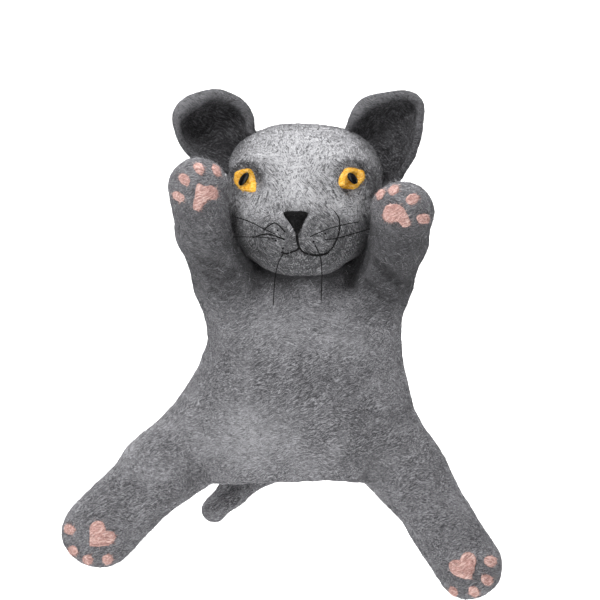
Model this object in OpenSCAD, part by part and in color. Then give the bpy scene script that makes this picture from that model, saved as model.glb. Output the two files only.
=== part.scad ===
// Felted wool cat glove puppet: hollow torso, raised arms, ball head, legs, tail.
// Frame: origin at the middle of the hem opening, +Z up, the face looks along -Y, millimetres.

/* [Felt] */
// Thickness of the felted wool wall
felt_wall = 4.5; // [3.5:0.5:4.5]
// Thickness of the pink paw pads at their middle
pad_thickness = 2.4; // [1.6:0.2:3]
// Thickness of the yellow eye patches at their middle
eye_thickness = 1.6; // [1:0.2:2]
// How far the two muzzle pads stand out from the head
muzzle_depth = 14.5; // [10:0.5:14.5]

/* [Threads] */
// Diameter of the whisker thread
whisker_diameter = 0.6; // [0.5:0.1:0.8]
// Diameter of the mouth thread
mouth_diameter = 0.9; // [0.6:0.1:1.2]

/* [Finger holes] */
// Radius of the finger hole through each shoulder
arm_hole_radius = 10; // [8:0.5:10]
// Radius of the finger bore in the head
head_bore_radius = 9; // [7:0.5:9]

/* [Hidden] */
grey = [0.55, 0.54, 0.52];
light_grey = [0.68, 0.67, 0.65];
pink = [0.9, 0.58, 0.6];
yellow = [0.93, 0.69, 0.24];
black = [0.08, 0.07, 0.07];
cream = [0.92, 0.9, 0.85];

// Gap between two pieces that lie against each other without moving
lay_gap = 0.15;
// Number of points round a felted tube, round a pad outline and round a thread
body_sides = 28;
pad_sides = 18;
thread_sides = 8;
// Squareness of a felted cross-section: 2 is an ellipse
body_square = 2.4;
limb_square = 2.3;
end_square = 2.6;

// Torso stations from hem to neck: height, centre X, half width, half depth
torso_rings = [
  [0, -2, 52, 26],
  [12, -1, 54.5, 27.5],
  [25, 0, 57, 29],
  [38, 2.5, 62, 30],
  [50, 4.5, 66, 31],
  [62, 6, 65, 32],
  [75, 7, 62, 32],
  [85, 8, 59.5, 32],
  [95, 9, 57, 31],
  [108, 9, 39, 28],
  [116, 9, 29, 25],
  [122, 9, 22.5, 22.5]
];

// Neck: a ball-shaped sleeve about the point where the head tilts and nods
neck_pivot = [9, 0, 136];
neck_radius = 20.5;
neck_low = -42;
neck_high = 38;
neck_bands = 8;
pocket_radius = 21.8;
// Narrowest way through the neck
neck_passage = 11.5;

// Head ellipsoid
head_centre = [9, 4, 173];
head_half = [48.8, 42, 43.5];
head_wall = felt_wall + 0.5;
head_sides = 32;
head_lowest = -62;
head_highest = 82;
head_band = 12;
// Latitudes of the plain cutting ellipsoids
cutter_reach = 80;
cutter_band = 10;
round_sides = 48;
sleeve_wall = 2.5;
sleeve_bottom = 162.5;
sleeve_top = 205;

// Arms: [shoulder centre, elbow centre, paw centre, paw half width, paw half depth, rounded end length]
arm_radius = 16;
elbow_radius = 15.5;
hinge_gap = 0.6;
// Where the finger hole's cutter starts behind the shoulder, and its length
arm_hole_start = 34;
arm_hole_length = 26;
left_arm_points = [[-42, -3, 120], [-53, -28, 150], [-56, -42, 178], 18, 13, 20];
right_arm_points = [[60, -3, 120], [66, -28, 148], [67, -40, 163], 19.5, 13, 22];

// Legs: [hip centre, foot centre, hip radius, foot half width, foot half depth, rounded end length]
left_leg_points = [[-75.5, 0, 6], [-116, 0, -31], 19.5, 21.8, 15, 23];
right_leg_points = [[72, 0, 5], [109, 0, -52], 19, 20.8, 15, 22];
leg_mouth_radius = 12;

// Pads on a limb: [heart across, heart along, turn of the group, toe distance, size factor]
left_paw_pads = [5, 30, -29, 14.5, 0.95];
right_paw_pads = [-3.5, 18, 21, 14.5, 1];
left_foot_pads = [-1, 53, 0, 18, 1.12];
right_foot_pads = [1, 68, 0, 18, 1.12];
toe_spread = [-58, -19, 19, 58];

// Ears: [centre, half width, half height, direction of the tip, length of the tip, cup depth]
left_ear_shape = [[-45.5, -6, 214], 23.5, 22, 120, 2, 13];
right_ear_shape = [[57, -6, 212.5], 23, 22.5, 48, 5.5, 13];
ear_wall = 5;
ear_sides = 26;

// Face: muzzle pads [centre X, centre Z, half width, half height]
left_muzzle_shape = [-6, 146, 10.4, 9.4];
right_muzzle_shape = [17.4, 150.2, 11, 11.4];
// Thickness of the nose at its rim and at its middle
nose_rim = 3;
nose_depth = 9.5;
nose_corners = [[-3.4, 163.4], [10.8, 163.4], [4, 151.4]];
left_eye_corners = [[-33.6, 186], [-26.4, 189.6], [-20.4, 182.4], [-19.8, 175.2], [-29.4, 175.8]];
right_eye_corners = [[28.8, 181.8], [37.2, 189.6], [45, 184.8], [40.8, 177], [29.4, 177.6]];
// Bead pupils: [X, Z, half length, half width, lean from upright]
left_bead_shape = [-27, 183.5, 4.4, 2, 35];
right_bead_shape = [36.9, 183.6, 4.2, 2.2, -45];
bead_half_height = 1.6;

// Threads, root first
left_top_whisker = [[-5, -47, 148], [-14, -48, 152], [-24, -47, 157], [-33, -45, 160]];
left_low_whisker = [[-4, -47, 146], [-14, -48.5, 147.5], [-24, -46, 148], [-34, -43, 148]];
left_hanging_whisker = [[-4, -45, 138], [-7, -48, 132], [-9, -49, 122], [-10, -48, 107]];
right_top_whisker = [[12, -48, 148], [21, -50, 152], [31, -47.5, 155], [41, -43.5, 157]];
right_low_whisker = [[17, -47, 146], [27, -46, 147], [38, -41, 150], [48, -36, 153]];
right_hanging_whisker = [[15, -47, 143], [18, -49, 136], [19, -50, 126], [18.5, -49, 110]];
whisker_rings = 18;
// Mouth: strokes of points [X, Z] laid on the front of the face
mouth_strokes = [
  [[5.4, 150.8], [5.4, 147.5], [5.4, 144.6]],
  [[5.4, 144.6], [3.8, 140.6], [0, 137.4], [-3, 136.5]],
  [[5.4, 144.6], [7, 140.6], [11, 138.6], [15.4, 137.6]]
];
mouth_lift = 0.35;

// Tail: [point, radius] from the root
tail_points = [
  [[6, 41, 38], 10],
  [[0, 52, 22], 9.5],
  [[-16, 56, 4], 9],
  [[-34, 50, -10], 8],
  [[-48, 44, -17], 6.5]
];
tail_sides = 14;
tail_steps = 4;

// ---- Small vector helpers ----
function unit(v) = v / norm(v);
function mix(a, b, t) = a + (b - a) * t;
function signed_power(v, p) = sign(v) * pow(abs(v), p);
// Number k positions along a list, repeated at its ends
function pick(list, k) = list[max(0, min(len(list) - 1, k))];

// ---- Rings and skins ----
// Closed ring of a squared ellipse about c, spanned by u (half a) and v (half b)
function ring(c, u, v, a, b, square, sides) = [
  for (i = [0:sides - 1])
    let (t = 360 * i / sides)
    c + u * a * signed_power(cos(t), 2 / square) + v * b * signed_power(sin(t), 2 / square)
];

// Solid between a stack of rings; looped joins the last ring back to the first
module skin(rings, looped = false) {
  n = len(rings[0]);
  count = len(rings);
  last = looped ? count - 1 : count - 2;
  points = [for (r = rings) each r];
  walls = [
    for (i = [0:last])
      for (j = [0:n - 1])
        let (k = (i + 1) % count, m = (j + 1) % n)
        each [
          [i * n + j, k * n + j, k * n + m],
          [i * n + j, k * n + m, i * n + m]
        ]
  ];
  caps = looped ? [] : [
    [for (j = [0:n - 1]) j],
    [for (j = [n - 1:-1:0]) (count - 1) * n + j]
  ];
  polyhedron(points = points, faces = concat(walls, caps), convexity = 8);
}

// Ellipsoid rings from low to high latitude
function globe(c, half, low, high, step, sides) = [
  for (a = [low:step:high])
    ring(c + [0, 0, half[2] * sin(a)], [1, 0, 0], [0, 1, 0],
      half[0] * cos(a), half[1] * cos(a), 2, sides)
];

// Smooth curve through points: position at t counted in whole points
function curve(points, t) =
  let (
    k = min(floor(t), len(points) - 2),
    f = t - k,
    p0 = pick(points, k - 1),
    p1 = points[k],
    p2 = points[k + 1],
    p3 = pick(points, k + 2)
  )
  0.5 * (2 * p1 + (p2 - p0) * f + (2 * p0 - 5 * p1 + 4 * p2 - p3) * f * f
    + (3 * p1 - p0 - 3 * p2 + p3) * f * f * f);

// Ring square to the line from a to b
function cross_ring(c, along, reference, radius, sides) =
  let (w = unit(along), u = unit(cross(reference, w)), v = cross(w, u))
  ring(c, u, v, radius, radius, 2, sides);

// Thread swept along a smooth curve
module thread(points, diameter, rings) {
  top = len(points) - 1;
  bend = 0.01;
  skin([
    for (i = [0:rings])
      let (t = top * i / rings, from = max(0, t - bend), to = min(top, t + bend))
      cross_ring(curve(points, t), curve(points, to) - curve(points, from), [0, 1, 0],
        diameter / 2, thread_sides)
  ]);
}

// ---- Limbs: straight sleeves with a ball at the root ----
// A limb is [root, direction, across, back, length, root radius, half width, half depth, end length]
function limb(root, end, radius, half_width, half_depth, end_length) =
  let (
    w = unit(end - root),
    side = abs(w[1]) > 0.05 ? [1, 0, 0] : [w[2], 0, -w[0]],
    u = unit(side - w * (side * w))
  )
  [root, w, u, cross(w, u), norm(end - root), radius, half_width, half_depth, end_length];

// How much a limb has shrunk at s, past the start of its rounded end
function taper(l, s) =
  s <= l[4] ? 1
  : pow(max(0, 1 - pow((s - l[4]) / l[8], end_square)), 1 / end_square);
function limb_half_width(l, s) = mix(l[5], l[6], min(1, max(0, s / l[4]))) * taper(l, s);
function limb_half_depth(l, s) = mix(l[5], l[7], min(1, max(0, s / l[4]))) * taper(l, s);
function limb_ring(l, s, inset) =
  ring(l[0] + l[1] * s, l[2], l[3], limb_half_width(l, s) - inset, limb_half_depth(l, s) - inset,
    mix(2, limb_square, min(1, max(0, s / l[4]))), body_sides);
// Ball-shaped root from its mouth up to its widest ring
function ball_rings(l, mouth) =
  let (start = asin(mouth / l[5]))
  [
    for (i = [0:3])
      let (a = start + (80 - start) * i / 3)
      ring(l[0] - l[1] * l[5] * cos(a), l[2], l[3], l[5] * sin(a), l[5] * sin(a), 2, body_sides)
  ];
// Throat of the same root, from its mouth inwards
function throat_rings(l, mouth, wall) = [
  ring(l[0] - l[1] * l[5] * cos(asin(mouth / l[5])), l[2], l[3], mouth - 0.8, mouth - 0.8, 2, body_sides),
  ring(l[0] - l[1] * l[5] * 0.35, l[2], l[3], l[5] - wall - 1, l[5] - wall - 1, 2, body_sides)
];
end_fractions = [0, 0.3, 0.55, 0.75, 0.9, 0.985];
function limb_outside(l) = concat(
  [for (s = [0, l[4] / 3, l[4] * 2 / 3]) limb_ring(l, s, 0)],
  [for (f = end_fractions) limb_ring(l, l[4] + l[8] * f, 0)]
);
// Inside of the same limb: the rounded end is a smaller copy of the outer end
function inner_limb(l, wall) = [
  l[0], l[1], l[2], l[3], l[4], l[5] - wall, l[6] - wall, l[7] - wall, l[8] - wall
];
function flip(list) = [for (i = [len(list) - 1:-1:0]) list[i]];

// Closed cup: outer tip, ball, mouth, throat, inner tip
module cup(l, mouth, wall) {
  inner = inner_limb(l, wall);
  outside = concat(ball_rings(l, mouth), limb_outside(l));
  inside = concat(throat_rings(l, mouth, wall), limb_outside(inner));
  skin(concat(flip_side(flip(outside)), flip_side(inside)));
}
// Same rings wound the other way round
function flip_side(rings) = [for (r = rings) flip(r)];

// ---- Pads draped on a surface ----
// Outline points are [across, along]; the middle of the pad is its dome
function heart(t) =
  let (r = 1 - 0.16 * cos(t) - 0.24 * pow(abs(cos(t / 2)), 12) + 0.16 * pow(abs(sin(t / 2)), 6))
  [sin(t) * r, -cos(t) * r];
function turned(p, a) = [p[0] * cos(a) - p[1] * sin(a), p[0] * sin(a) + p[1] * cos(a)];
pad_steps = [1, 0.85, 0.5, 0.15];

// Height of the limb's front surface above its middle plane
function limb_front(l, p) =
  let (
    a = limb_half_width(l, p[1]),
    b = limb_half_depth(l, p[1])
  )
  b * pow(1 - pow(min(0.98, abs(p[0]) / max(a, 0.1)), limb_square), 1 / limb_square);
function on_limb(l, p, lift) =
  l[0] + l[1] * p[1] + l[2] * p[0] - l[3] * (limb_front(l, p) + lift);

// Limb pad: underside rim to dome, on the front of limb l
module limb_pad(l, outline, centre, height) {
  under = [
    for (f = flip(pad_steps))
      [for (p = outline) on_limb(l, centre + (p - centre) * f, lay_gap)]
  ];
  over = [
    for (f = pad_steps)
      [for (p = outline)
        on_limb(l, centre + (p - centre) * f, lay_gap + 0.5 + (height - 0.5) * sqrt(1 - f * f))]
  ];
  layers = concat(under, over);
  skin(flip_side(layers));
}
function pad_outline(centre, half_across, half_along, turn) = [
  for (i = [0:pad_sides - 1])
    let (t = 360 * i / pad_sides)
    centre + turned([half_across * sin(t), half_along * cos(t)], turn)
];
function heart_outline(centre, size, turn) = [
  for (i = [0:pad_sides - 1])
    centre + turned(heart(360 * i / pad_sides) * size, turn)
];

// Palm or sole heart; its point faces the toes
module heart_pad(l, pads) {
  centre = [pads[0], pads[1]];
  limb_pad(l, heart_outline(centre, 7.6 * pads[4], -pads[2]), centre, pad_thickness);
}
// Four toe pads round the heart
module toe_pad(l, pads, k) {
  turn = pads[2] + toe_spread[k];
  centre = [pads[0] + pads[3] * sin(turn), pads[1] + pads[3] * cos(turn)];
  limb_pad(l, pad_outline(centre, 2.7 * pads[4], 3.7 * pads[4], -turn), centre, pad_thickness);
}

// ---- Head surface ----
// Y of the head's front at [x, z]
function head_front(p) =
  head_centre[1] - head_half[1] * sqrt(max(0,
    1 - pow((p[0] - head_centre[0]) / head_half[0], 2) - pow((p[1] - head_centre[2]) / head_half[2], 2)));
// How far a muzzle pad stands out at p
function muzzle_rise(m, p) =
  let (q = pow((p[0] - m[0]) / m[2], 2) + pow((p[1] - m[1]) / m[3], 2))
  q >= 1 ? 0 : 0.6 + (muzzle_depth - 0.6) * sqrt(1 - q);
function face_front(p) =
  head_front(p) - max(muzzle_rise(left_muzzle_shape, p), muzzle_rise(right_muzzle_shape, p));
function middle(points) = [for (k = [0:1]) [for (p = points) p[k]] * [for (p = points) 1] / len(points)];

// Face piece with the given XZ outline, domed by height, rim of the given thickness
module face_pad(outline, centre, rim, height) {
  under = [
    for (f = flip(pad_steps))
      [for (p = outline) let (q = centre + (p - centre) * f) [q[0], head_front(q) - lay_gap, q[1]]]
  ];
  over = [
    for (f = pad_steps)
      [for (p = outline)
        let (q = centre + (p - centre) * f)
        [q[0], head_front(q) - lay_gap - rim - (height - rim) * sqrt(1 - f * f), q[1]]]
  ];
  skin(concat(under, over));
}
// Rounded outline of a cornered patch: three points for each corner
function rounded(corners, round) = [
  for (i = [0:len(corners) - 1])
    let (
      n = len(corners),
      c = corners[i],
      a = corners[(i + n - 1) % n],
      b = corners[(i + 1) % n],
      from = mix(c, a, round),
      to = mix(c, b, round)
    )
    each [for (t = [0, 0.33, 0.67, 1]) mix(mix(from, c, t), mix(c, to, t), t)]
];
function clockwise(outline) =
  let (
    n = len(outline),
    area = [for (i = [0:n - 1]) cross(outline[i], outline[(i + 1) % n])] * [for (i = [0:n - 1]) 1]
  )
  area > 0 ? flip(outline) : outline;
function muzzle_outline(m) = [
  for (i = [0:pad_sides - 1])
    let (t = 360 * i / pad_sides)
    [m[0] + m[2] * sin(t), m[1] + m[3] * cos(t)]
];

// Bead on the face: its middle is lifted off the eye patch along the surface's slope
module bead(shape) {
  p = [shape[0], shape[1]];
  y = head_front(p);
  slope = [
    (p[0] - head_centre[0]) / pow(head_half[0], 2),
    (y - head_centre[1]) / pow(head_half[1], 2),
    (p[1] - head_centre[2]) / pow(head_half[2], 2)
  ];
  out = unit(slope);
  lean = [sin(shape[4]), 0, cos(shape[4])];
  along = unit(lean - out * (lean * out));
  across = cross(along, out);
  centre = [p[0], y, p[1]] + out * (eye_thickness + bead_half_height + 0.3);
  skin([
    for (a = [-80:20:80])
      ring(centre + along * shape[2] * sin(a), across, cross(along, across),
        shape[3] * cos(a), bead_half_height * cos(a), 2, 20)
  ]);
}

// Cupped ear, open to the front, cut to sit on the head
module ear(shape) {
  c = shape[0];
  steps = [0.12, 0.4, 0.65, 0.85, 1];
  function outline(f) = [
    for (i = [0:ear_sides - 1])
      let (
        t = 360 * i / ear_sides,
        tip = 1 + shape[4] / shape[1] * pow(max(0, cos(t - shape[3])), 5)
      )
      [shape[1] * f * tip * signed_power(cos(t), 0.9), shape[2] * f * tip * signed_power(sin(t), 0.9)]
  ];
  function layer(f, inset, back) = [
    for (p = outline(f - inset))
      c + [p[0], shape[5] * (1 - f * f) + back, p[1]]
  ];
  difference() {
    skin(concat(
      [for (f = steps) layer(f, 0.04, 0)],
      [for (f = flip(steps)) layer(f, 0, ear_wall)]
    ));
    skin(globe(head_centre, head_half + [1, 1, 1] * lay_gap, -cutter_reach, cutter_reach, cutter_band, head_sides));
  }
}

// ---- Sub-parts ----
module torso_shell() {
  outside = [
    for (r = torso_rings)
      ring([r[1], 0, r[0]], [1, 0, 0], [0, 1, 0], r[2], r[3], body_square, body_sides)
  ];
  inside = [
    for (r = flip(torso_rings))
      ring([r[1], 0, r[0]], [1, 0, 0], [0, 1, 0], r[2] - felt_wall, r[3] - felt_wall, body_square, body_sides)
  ];
  color(grey)
  difference() {
    skin(concat(outside, inside), looped = true);
    for (arm = [left_arm_points, right_arm_points])
      let (l = limb(arm[0], arm[1], arm_radius, arm_radius, arm_radius, 1))
      multmatrix(limb_frame(l))
      translate([0, 0, -arm_hole_start])
      rotate(15)
      cylinder(r = arm_hole_radius, h = arm_hole_length, $fn = 12);
  }
}
// Places the Z axis along a limb, root at the origin
function limb_frame(l) = [
  [l[2][0], l[3][0], l[1][0], l[0][0]],
  [l[2][1], l[3][1], l[1][1], l[0][1]],
  [l[2][2], l[3][2], l[1][2], l[0][2]],
  [0, 0, 0, 1]
];

module neck_sleeve() {
  step = (neck_high - neck_low) / neck_bands;
  outside = globe(neck_pivot, [1, 1, 1] * neck_radius, neck_low, neck_high, step, body_sides);
  inner_radius = neck_radius - felt_wall + 0.5;
  inside = [
    for (i = [0:neck_bands])
      let (z = neck_radius * sin(neck_high - step * i))
      let (r = sqrt(pow(inner_radius, 2) - pow(min(abs(z), inner_radius - 3), 2)))
      let (hole = max(r, neck_passage))
      ring(neck_pivot + [0, 0, z], [1, 0, 0], [0, 1, 0], hole, hole, 2, body_sides)
  ];
  color(grey)
  skin(concat(outside, inside), looped = true);
}

// Room for the neck sleeve inside the head
module neck_pocket() {
  skin(globe(neck_pivot, [1, 1, 1] * pocket_radius, -cutter_reach, cutter_reach, cutter_band, body_sides));
}

module head_felt() {
  inner = head_half - [1, 1, 1] * head_wall;
  color(light_grey)
  difference() {
    skin(concat(
      flip_side(flip(globe(head_centre, head_half, head_lowest, head_highest, head_band, head_sides))),
      flip_side(globe(head_centre, inner, head_lowest, head_highest, head_band, head_sides))
    ));
    neck_pocket();
  }
}

module head_core() {
  core = head_half - [1, 1, 1] * (head_wall + lay_gap + 0.1);
  color(cream)
  difference() {
    skin(globe(head_centre, core, head_lowest, head_highest, head_band, head_sides));
    neck_pocket();
    translate([neck_pivot[0], neck_pivot[1], 0])
    translate([0, 0, sleeve_bottom - 10])
    cylinder(
      r = head_bore_radius + sleeve_wall + lay_gap,
      h = sleeve_top - sleeve_bottom + 10 + lay_gap,
      $fn = round_sides
    );
  }
}

module finger_sleeve() {
  color(grey)
  translate([neck_pivot[0], neck_pivot[1], 0])
  difference() {
    translate([0, 0, sleeve_bottom])
    cylinder(r = head_bore_radius + sleeve_wall, h = sleeve_top - sleeve_bottom, $fn = round_sides);
    translate([0, 0, sleeve_bottom - 1])
    cylinder(r = head_bore_radius, h = sleeve_top - sleeve_bottom - 1, $fn = round_sides);
  }
}

module ear_left() {
  color(grey)
  ear(left_ear_shape);
}
module ear_right() {
  color(grey)
  ear(right_ear_shape);
}

module muzzle_left() {
  m = left_muzzle_shape;
  color(light_grey)
  face_pad(muzzle_outline(m), [m[0], m[1]], 0.6, muzzle_depth);
}
module muzzle_right() {
  m = right_muzzle_shape;
  color(light_grey)
  face_pad(muzzle_outline(m), [m[0], m[1]], 0.6, muzzle_depth);
}
module nose() {
  outline = clockwise(rounded(nose_corners, 0.3));
  color(black)
  face_pad(outline, middle(nose_corners), nose_rim, nose_depth);
}
module eye_left() {
  outline = clockwise(rounded(left_eye_corners, 0.45));
  color(yellow)
  face_pad(outline, middle(left_eye_corners), 0.6, eye_thickness);
}
module eye_right() {
  outline = clockwise(rounded(right_eye_corners, 0.45));
  color(yellow)
  face_pad(outline, middle(right_eye_corners), 0.6, eye_thickness);
}
module pupil_bead_left() {
  color(black)
  bead(left_bead_shape);
}
module pupil_bead_right() {
  color(black)
  bead(right_bead_shape);
}

module mouth_stitch() {
  color(black)
  for (stroke = mouth_strokes)
    let (
      path = [for (p = stroke) [p[0], face_front(p) - mouth_diameter / 2 - mouth_lift, p[1]]]
    )
    thread(path, mouth_diameter, 10);
}

module whisker_left_top() {
  color(black)
  thread(left_top_whisker, whisker_diameter, whisker_rings);
}
module whisker_left_low() {
  color(black)
  thread(left_low_whisker, whisker_diameter, whisker_rings);
}
module whisker_left_hanging() {
  color(black)
  thread(left_hanging_whisker, whisker_diameter, whisker_rings);
}
module whisker_right_top() {
  color(black)
  thread(right_top_whisker, whisker_diameter, whisker_rings);
}
module whisker_right_low() {
  color(black)
  thread(right_low_whisker, whisker_diameter, whisker_rings);
}
module whisker_right_hanging() {
  color(black)
  thread(right_hanging_whisker, whisker_diameter, whisker_rings);
}

// Upper arm: open at both ends, ball at the shoulder, flat rim short of the elbow ball
module arm_sleeve(points) {
  reach = norm(points[1] - points[0]) - elbow_radius - hinge_gap;
  end = points[0] + unit(points[1] - points[0]) * reach;
  l = limb(points[0], end, arm_radius, elbow_radius, elbow_radius, 1);
  inner = inner_limb(l, felt_wall);
  stations = [0, reach / 2, reach];
  color(grey)
  skin(concat(
    ball_rings(l, arm_hole_radius + 0.8),
    [for (s = stations) limb_ring(l, s, 0)],
    [for (s = flip(stations)) limb_ring(inner, s, 0)],
    flip(throat_rings(l, arm_hole_radius + 0.8, felt_wall))
  ), looped = true);
}
function paw_limb(points) =
  limb(points[1], points[2], elbow_radius, points[3], points[4], points[5]);
module paw_sleeve(points) {
  color(grey)
  cup(paw_limb(points), arm_hole_radius, felt_wall);
}
module arm_left() {
  arm_sleeve(left_arm_points);
}
module arm_right() {
  arm_sleeve(right_arm_points);
}
module paw_left() {
  paw_sleeve(left_arm_points);
}
module paw_right() {
  paw_sleeve(right_arm_points);
}

function leg_limb(points) =
  limb(points[0], points[1], points[2], points[3], points[4], points[5]);
module leg_felt(points) {
  color(grey)
  cup(leg_limb(points), leg_mouth_radius, felt_wall);
}
// Wool filling of a leg, flush with its mouth
module leg_filling(points) {
  l = leg_limb(points);
  inside = inner_limb(l, felt_wall + lay_gap);
  color(cream)
  skin(concat(throat_rings(l, leg_mouth_radius - lay_gap, felt_wall + lay_gap), limb_outside(inside)));
}
module leg_left() {
  leg_felt(left_leg_points);
}
module leg_right() {
  leg_felt(right_leg_points);
}
module leg_filling_left() {
  leg_filling(left_leg_points);
}
module leg_filling_right() {
  leg_filling(right_leg_points);
}

function limb_of(name) =
  name == "paw_left" ? [paw_limb(left_arm_points), left_paw_pads]
  : name == "paw_right" ? [paw_limb(right_arm_points), right_paw_pads]
  : name == "foot_left" ? [leg_limb(left_leg_points), left_foot_pads]
  : [leg_limb(right_leg_points), right_foot_pads];
// Pads of one limb: 0 is the heart, 1 to 4 are the toes
module pad(name, k) {
  l = limb_of(name)[0];
  pads = limb_of(name)[1];
  color(pink)
  if (k == 0) {
    heart_pad(l, pads);
  } else {
    toe_pad(l, pads, k - 1);
  }
}
module paw_left_pad() {
  pad("paw_left", 0);
}
module paw_left_toe_1() {
  pad("paw_left", 1);
}
module paw_left_toe_2() {
  pad("paw_left", 2);
}
module paw_left_toe_3() {
  pad("paw_left", 3);
}
module paw_left_toe_4() {
  pad("paw_left", 4);
}
module paw_right_pad() {
  pad("paw_right", 0);
}
module paw_right_toe_1() {
  pad("paw_right", 1);
}
module paw_right_toe_2() {
  pad("paw_right", 2);
}
module paw_right_toe_3() {
  pad("paw_right", 3);
}
module paw_right_toe_4() {
  pad("paw_right", 4);
}
module foot_left_pad() {
  pad("foot_left", 0);
}
module foot_left_toe_1() {
  pad("foot_left", 1);
}
module foot_left_toe_2() {
  pad("foot_left", 2);
}
module foot_left_toe_3() {
  pad("foot_left", 3);
}
module foot_left_toe_4() {
  pad("foot_left", 4);
}
module foot_right_pad() {
  pad("foot_right", 0);
}
module foot_right_toe_1() {
  pad("foot_right", 1);
}
module foot_right_toe_2() {
  pad("foot_right", 2);
}
module foot_right_toe_3() {
  pad("foot_right", 3);
}
module foot_right_toe_4() {
  pad("foot_right", 4);
}

module tail() {
  count = len(tail_points);
  centres = [for (p = tail_points) p[0]];
  radii = [for (p = tail_points) p[1]];
  top = (count - 1) * tail_steps;
  first = unit(centres[1] - centres[0]);
  last = unit(centres[count - 1] - centres[count - 2]);
  body = [
    for (i = [0:top])
      let (t = i / tail_steps, from = max(0, t - 0.05), to = min(count - 1, t + 0.05))
      cross_ring(curve(centres, t), curve(centres, to) - curve(centres, from), [0, 0, 1],
        curve(radii, t), tail_sides)
  ];
  root = [
    for (a = [80:-20:20])
      cross_ring(centres[0] - first * radii[0] * sin(a), first, [0, 0, 1], radii[0] * cos(a), tail_sides)
  ];
  tip_radius = radii[count - 1];
  tip = [
    for (a = [20:20:80])
      cross_ring(centres[count - 1] + last * tip_radius * sin(a), last, [0, 0, 1], tip_radius * cos(a), tail_sides)
  ];
  color(grey)
  skin(concat(root, body, tip));
}

pad_limbs = ["paw_left", "paw_right", "foot_left", "foot_right"];
pad_kinds = ["pad", "toe_1", "toe_2", "toe_3", "toe_4"];

torso_shell();
neck_sleeve();
head_felt();
head_core();
finger_sleeve();
ear_left();
ear_right();
muzzle_left();
muzzle_right();
nose();
eye_left();
eye_right();
pupil_bead_left();
pupil_bead_right();
mouth_stitch();
whisker_left_top();
whisker_left_low();
whisker_left_hanging();
whisker_right_top();
whisker_right_low();
whisker_right_hanging();
arm_left();
arm_right();
paw_left();
paw_right();
leg_left();
leg_right();
leg_filling_left();
leg_filling_right();
tail();
paw_left_pad();
paw_left_toe_1();
paw_left_toe_2();
paw_left_toe_3();
paw_left_toe_4();
paw_right_pad();
paw_right_toe_1();
paw_right_toe_2();
paw_right_toe_3();
paw_right_toe_4();
foot_left_pad();
foot_left_toe_1();
foot_left_toe_2();
foot_left_toe_3();
foot_left_toe_4();
foot_right_pad();
foot_right_toe_1();
foot_right_toe_2();
foot_right_toe_3();
foot_right_toe_4();
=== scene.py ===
import bpy
import math
import numpy as np
import openvdb
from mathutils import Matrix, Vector


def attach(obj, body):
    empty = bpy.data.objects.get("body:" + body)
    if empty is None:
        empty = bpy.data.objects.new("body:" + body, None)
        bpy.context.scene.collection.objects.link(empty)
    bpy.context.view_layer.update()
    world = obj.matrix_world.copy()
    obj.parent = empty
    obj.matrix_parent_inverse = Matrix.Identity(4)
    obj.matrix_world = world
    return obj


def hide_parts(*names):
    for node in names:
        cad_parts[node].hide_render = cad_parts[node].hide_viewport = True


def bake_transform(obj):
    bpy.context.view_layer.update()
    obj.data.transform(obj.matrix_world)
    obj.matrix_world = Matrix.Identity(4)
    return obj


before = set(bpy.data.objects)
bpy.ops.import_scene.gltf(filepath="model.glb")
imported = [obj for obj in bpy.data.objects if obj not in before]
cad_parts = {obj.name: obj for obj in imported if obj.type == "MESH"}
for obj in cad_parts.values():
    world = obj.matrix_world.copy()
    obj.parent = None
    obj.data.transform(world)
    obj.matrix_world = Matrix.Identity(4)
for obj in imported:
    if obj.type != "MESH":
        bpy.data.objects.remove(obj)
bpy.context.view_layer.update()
MM = 0.001
rng = np.random.default_rng(7)

# ---------------------------------------------------------------- camera and threads
camera_data = bpy.data.cameras.new("camera")
camera = bpy.data.objects.new("camera", camera_data)
bpy.context.scene.collection.objects.link(camera)
bpy.context.scene.camera = camera
camera_data.lens = 205
camera_data.sensor_width = 36
camera.location = (0.006, -2.08, 0.1104)
camera.rotation_euler = (math.radians(90), 0, 0)
camera_data.clip_start = 0.05
camera_data.clip_end = 30

WHISKERS = {
    "whisker_left_top": [(-5, -47, 148), (-14, -48, 152), (-24, -47, 157), (-33, -45, 160)],
    "whisker_left_low": [(-4, -47, 146), (-14, -48.5, 147.5), (-24, -46, 148), (-34, -43, 148)],
    "whisker_left_hanging": [(-4, -45, 138), (-7, -48, 132), (-9, -49, 122), (-10, -48, 107)],
    "whisker_right_top": [(12, -48, 148), (21, -50, 152), (31, -47.5, 155), (41, -43.5, 157)],
    "whisker_right_low": [(17, -47, 146), (27, -46, 147), (38, -41, 150), (48, -36, 153)],
    "whisker_right_hanging": [(15, -47, 143), (18, -49, 136), (19, -50, 126), (18.5, -49, 110)],
}
WHISKER_RADIUS = 0.3


def curve_between(a, b, c, d, f):
    """Catmull-Rom point at fraction f of the way from b to c."""
    return 0.5 * (2 * b + (c - a) * f + (2 * a - 5 * b + 4 * c - d) * f**2 + (3 * b - a - 3 * c + d) * f**3)


def smooth_path(points, steps):
    """Smooth open curve through points."""
    p = np.array(points, float)
    p = np.vstack([p[:1], p, p[-1:]])
    out = []
    for k in range(1, len(p) - 2):
        for f in np.linspace(0, 1, steps, endpoint=False):
            out.append(curve_between(p[k - 1], p[k], p[k + 1], p[k + 2], f))
    out.append(p[-2])
    return np.array(out)


def closed_curve(points, steps):
    """Smooth closed curve through points."""
    p = np.array(points, float)
    n = len(p)
    out = []
    for k in range(n):
        for f in np.linspace(0, 1, steps, endpoint=False):
            out.append(curve_between(p[k - 1], p[k], p[(k + 1) % n], p[(k + 2) % n], f))
    return np.array(out)


# ---------------------------------------------------------------- meshes from arrays
def store(mesh, name, values):
    """One number for each point of a mesh, read by its material."""
    mesh.attributes.new(name, "FLOAT", "POINT").data.foreach_set("value", values.astype(np.float32))


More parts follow.
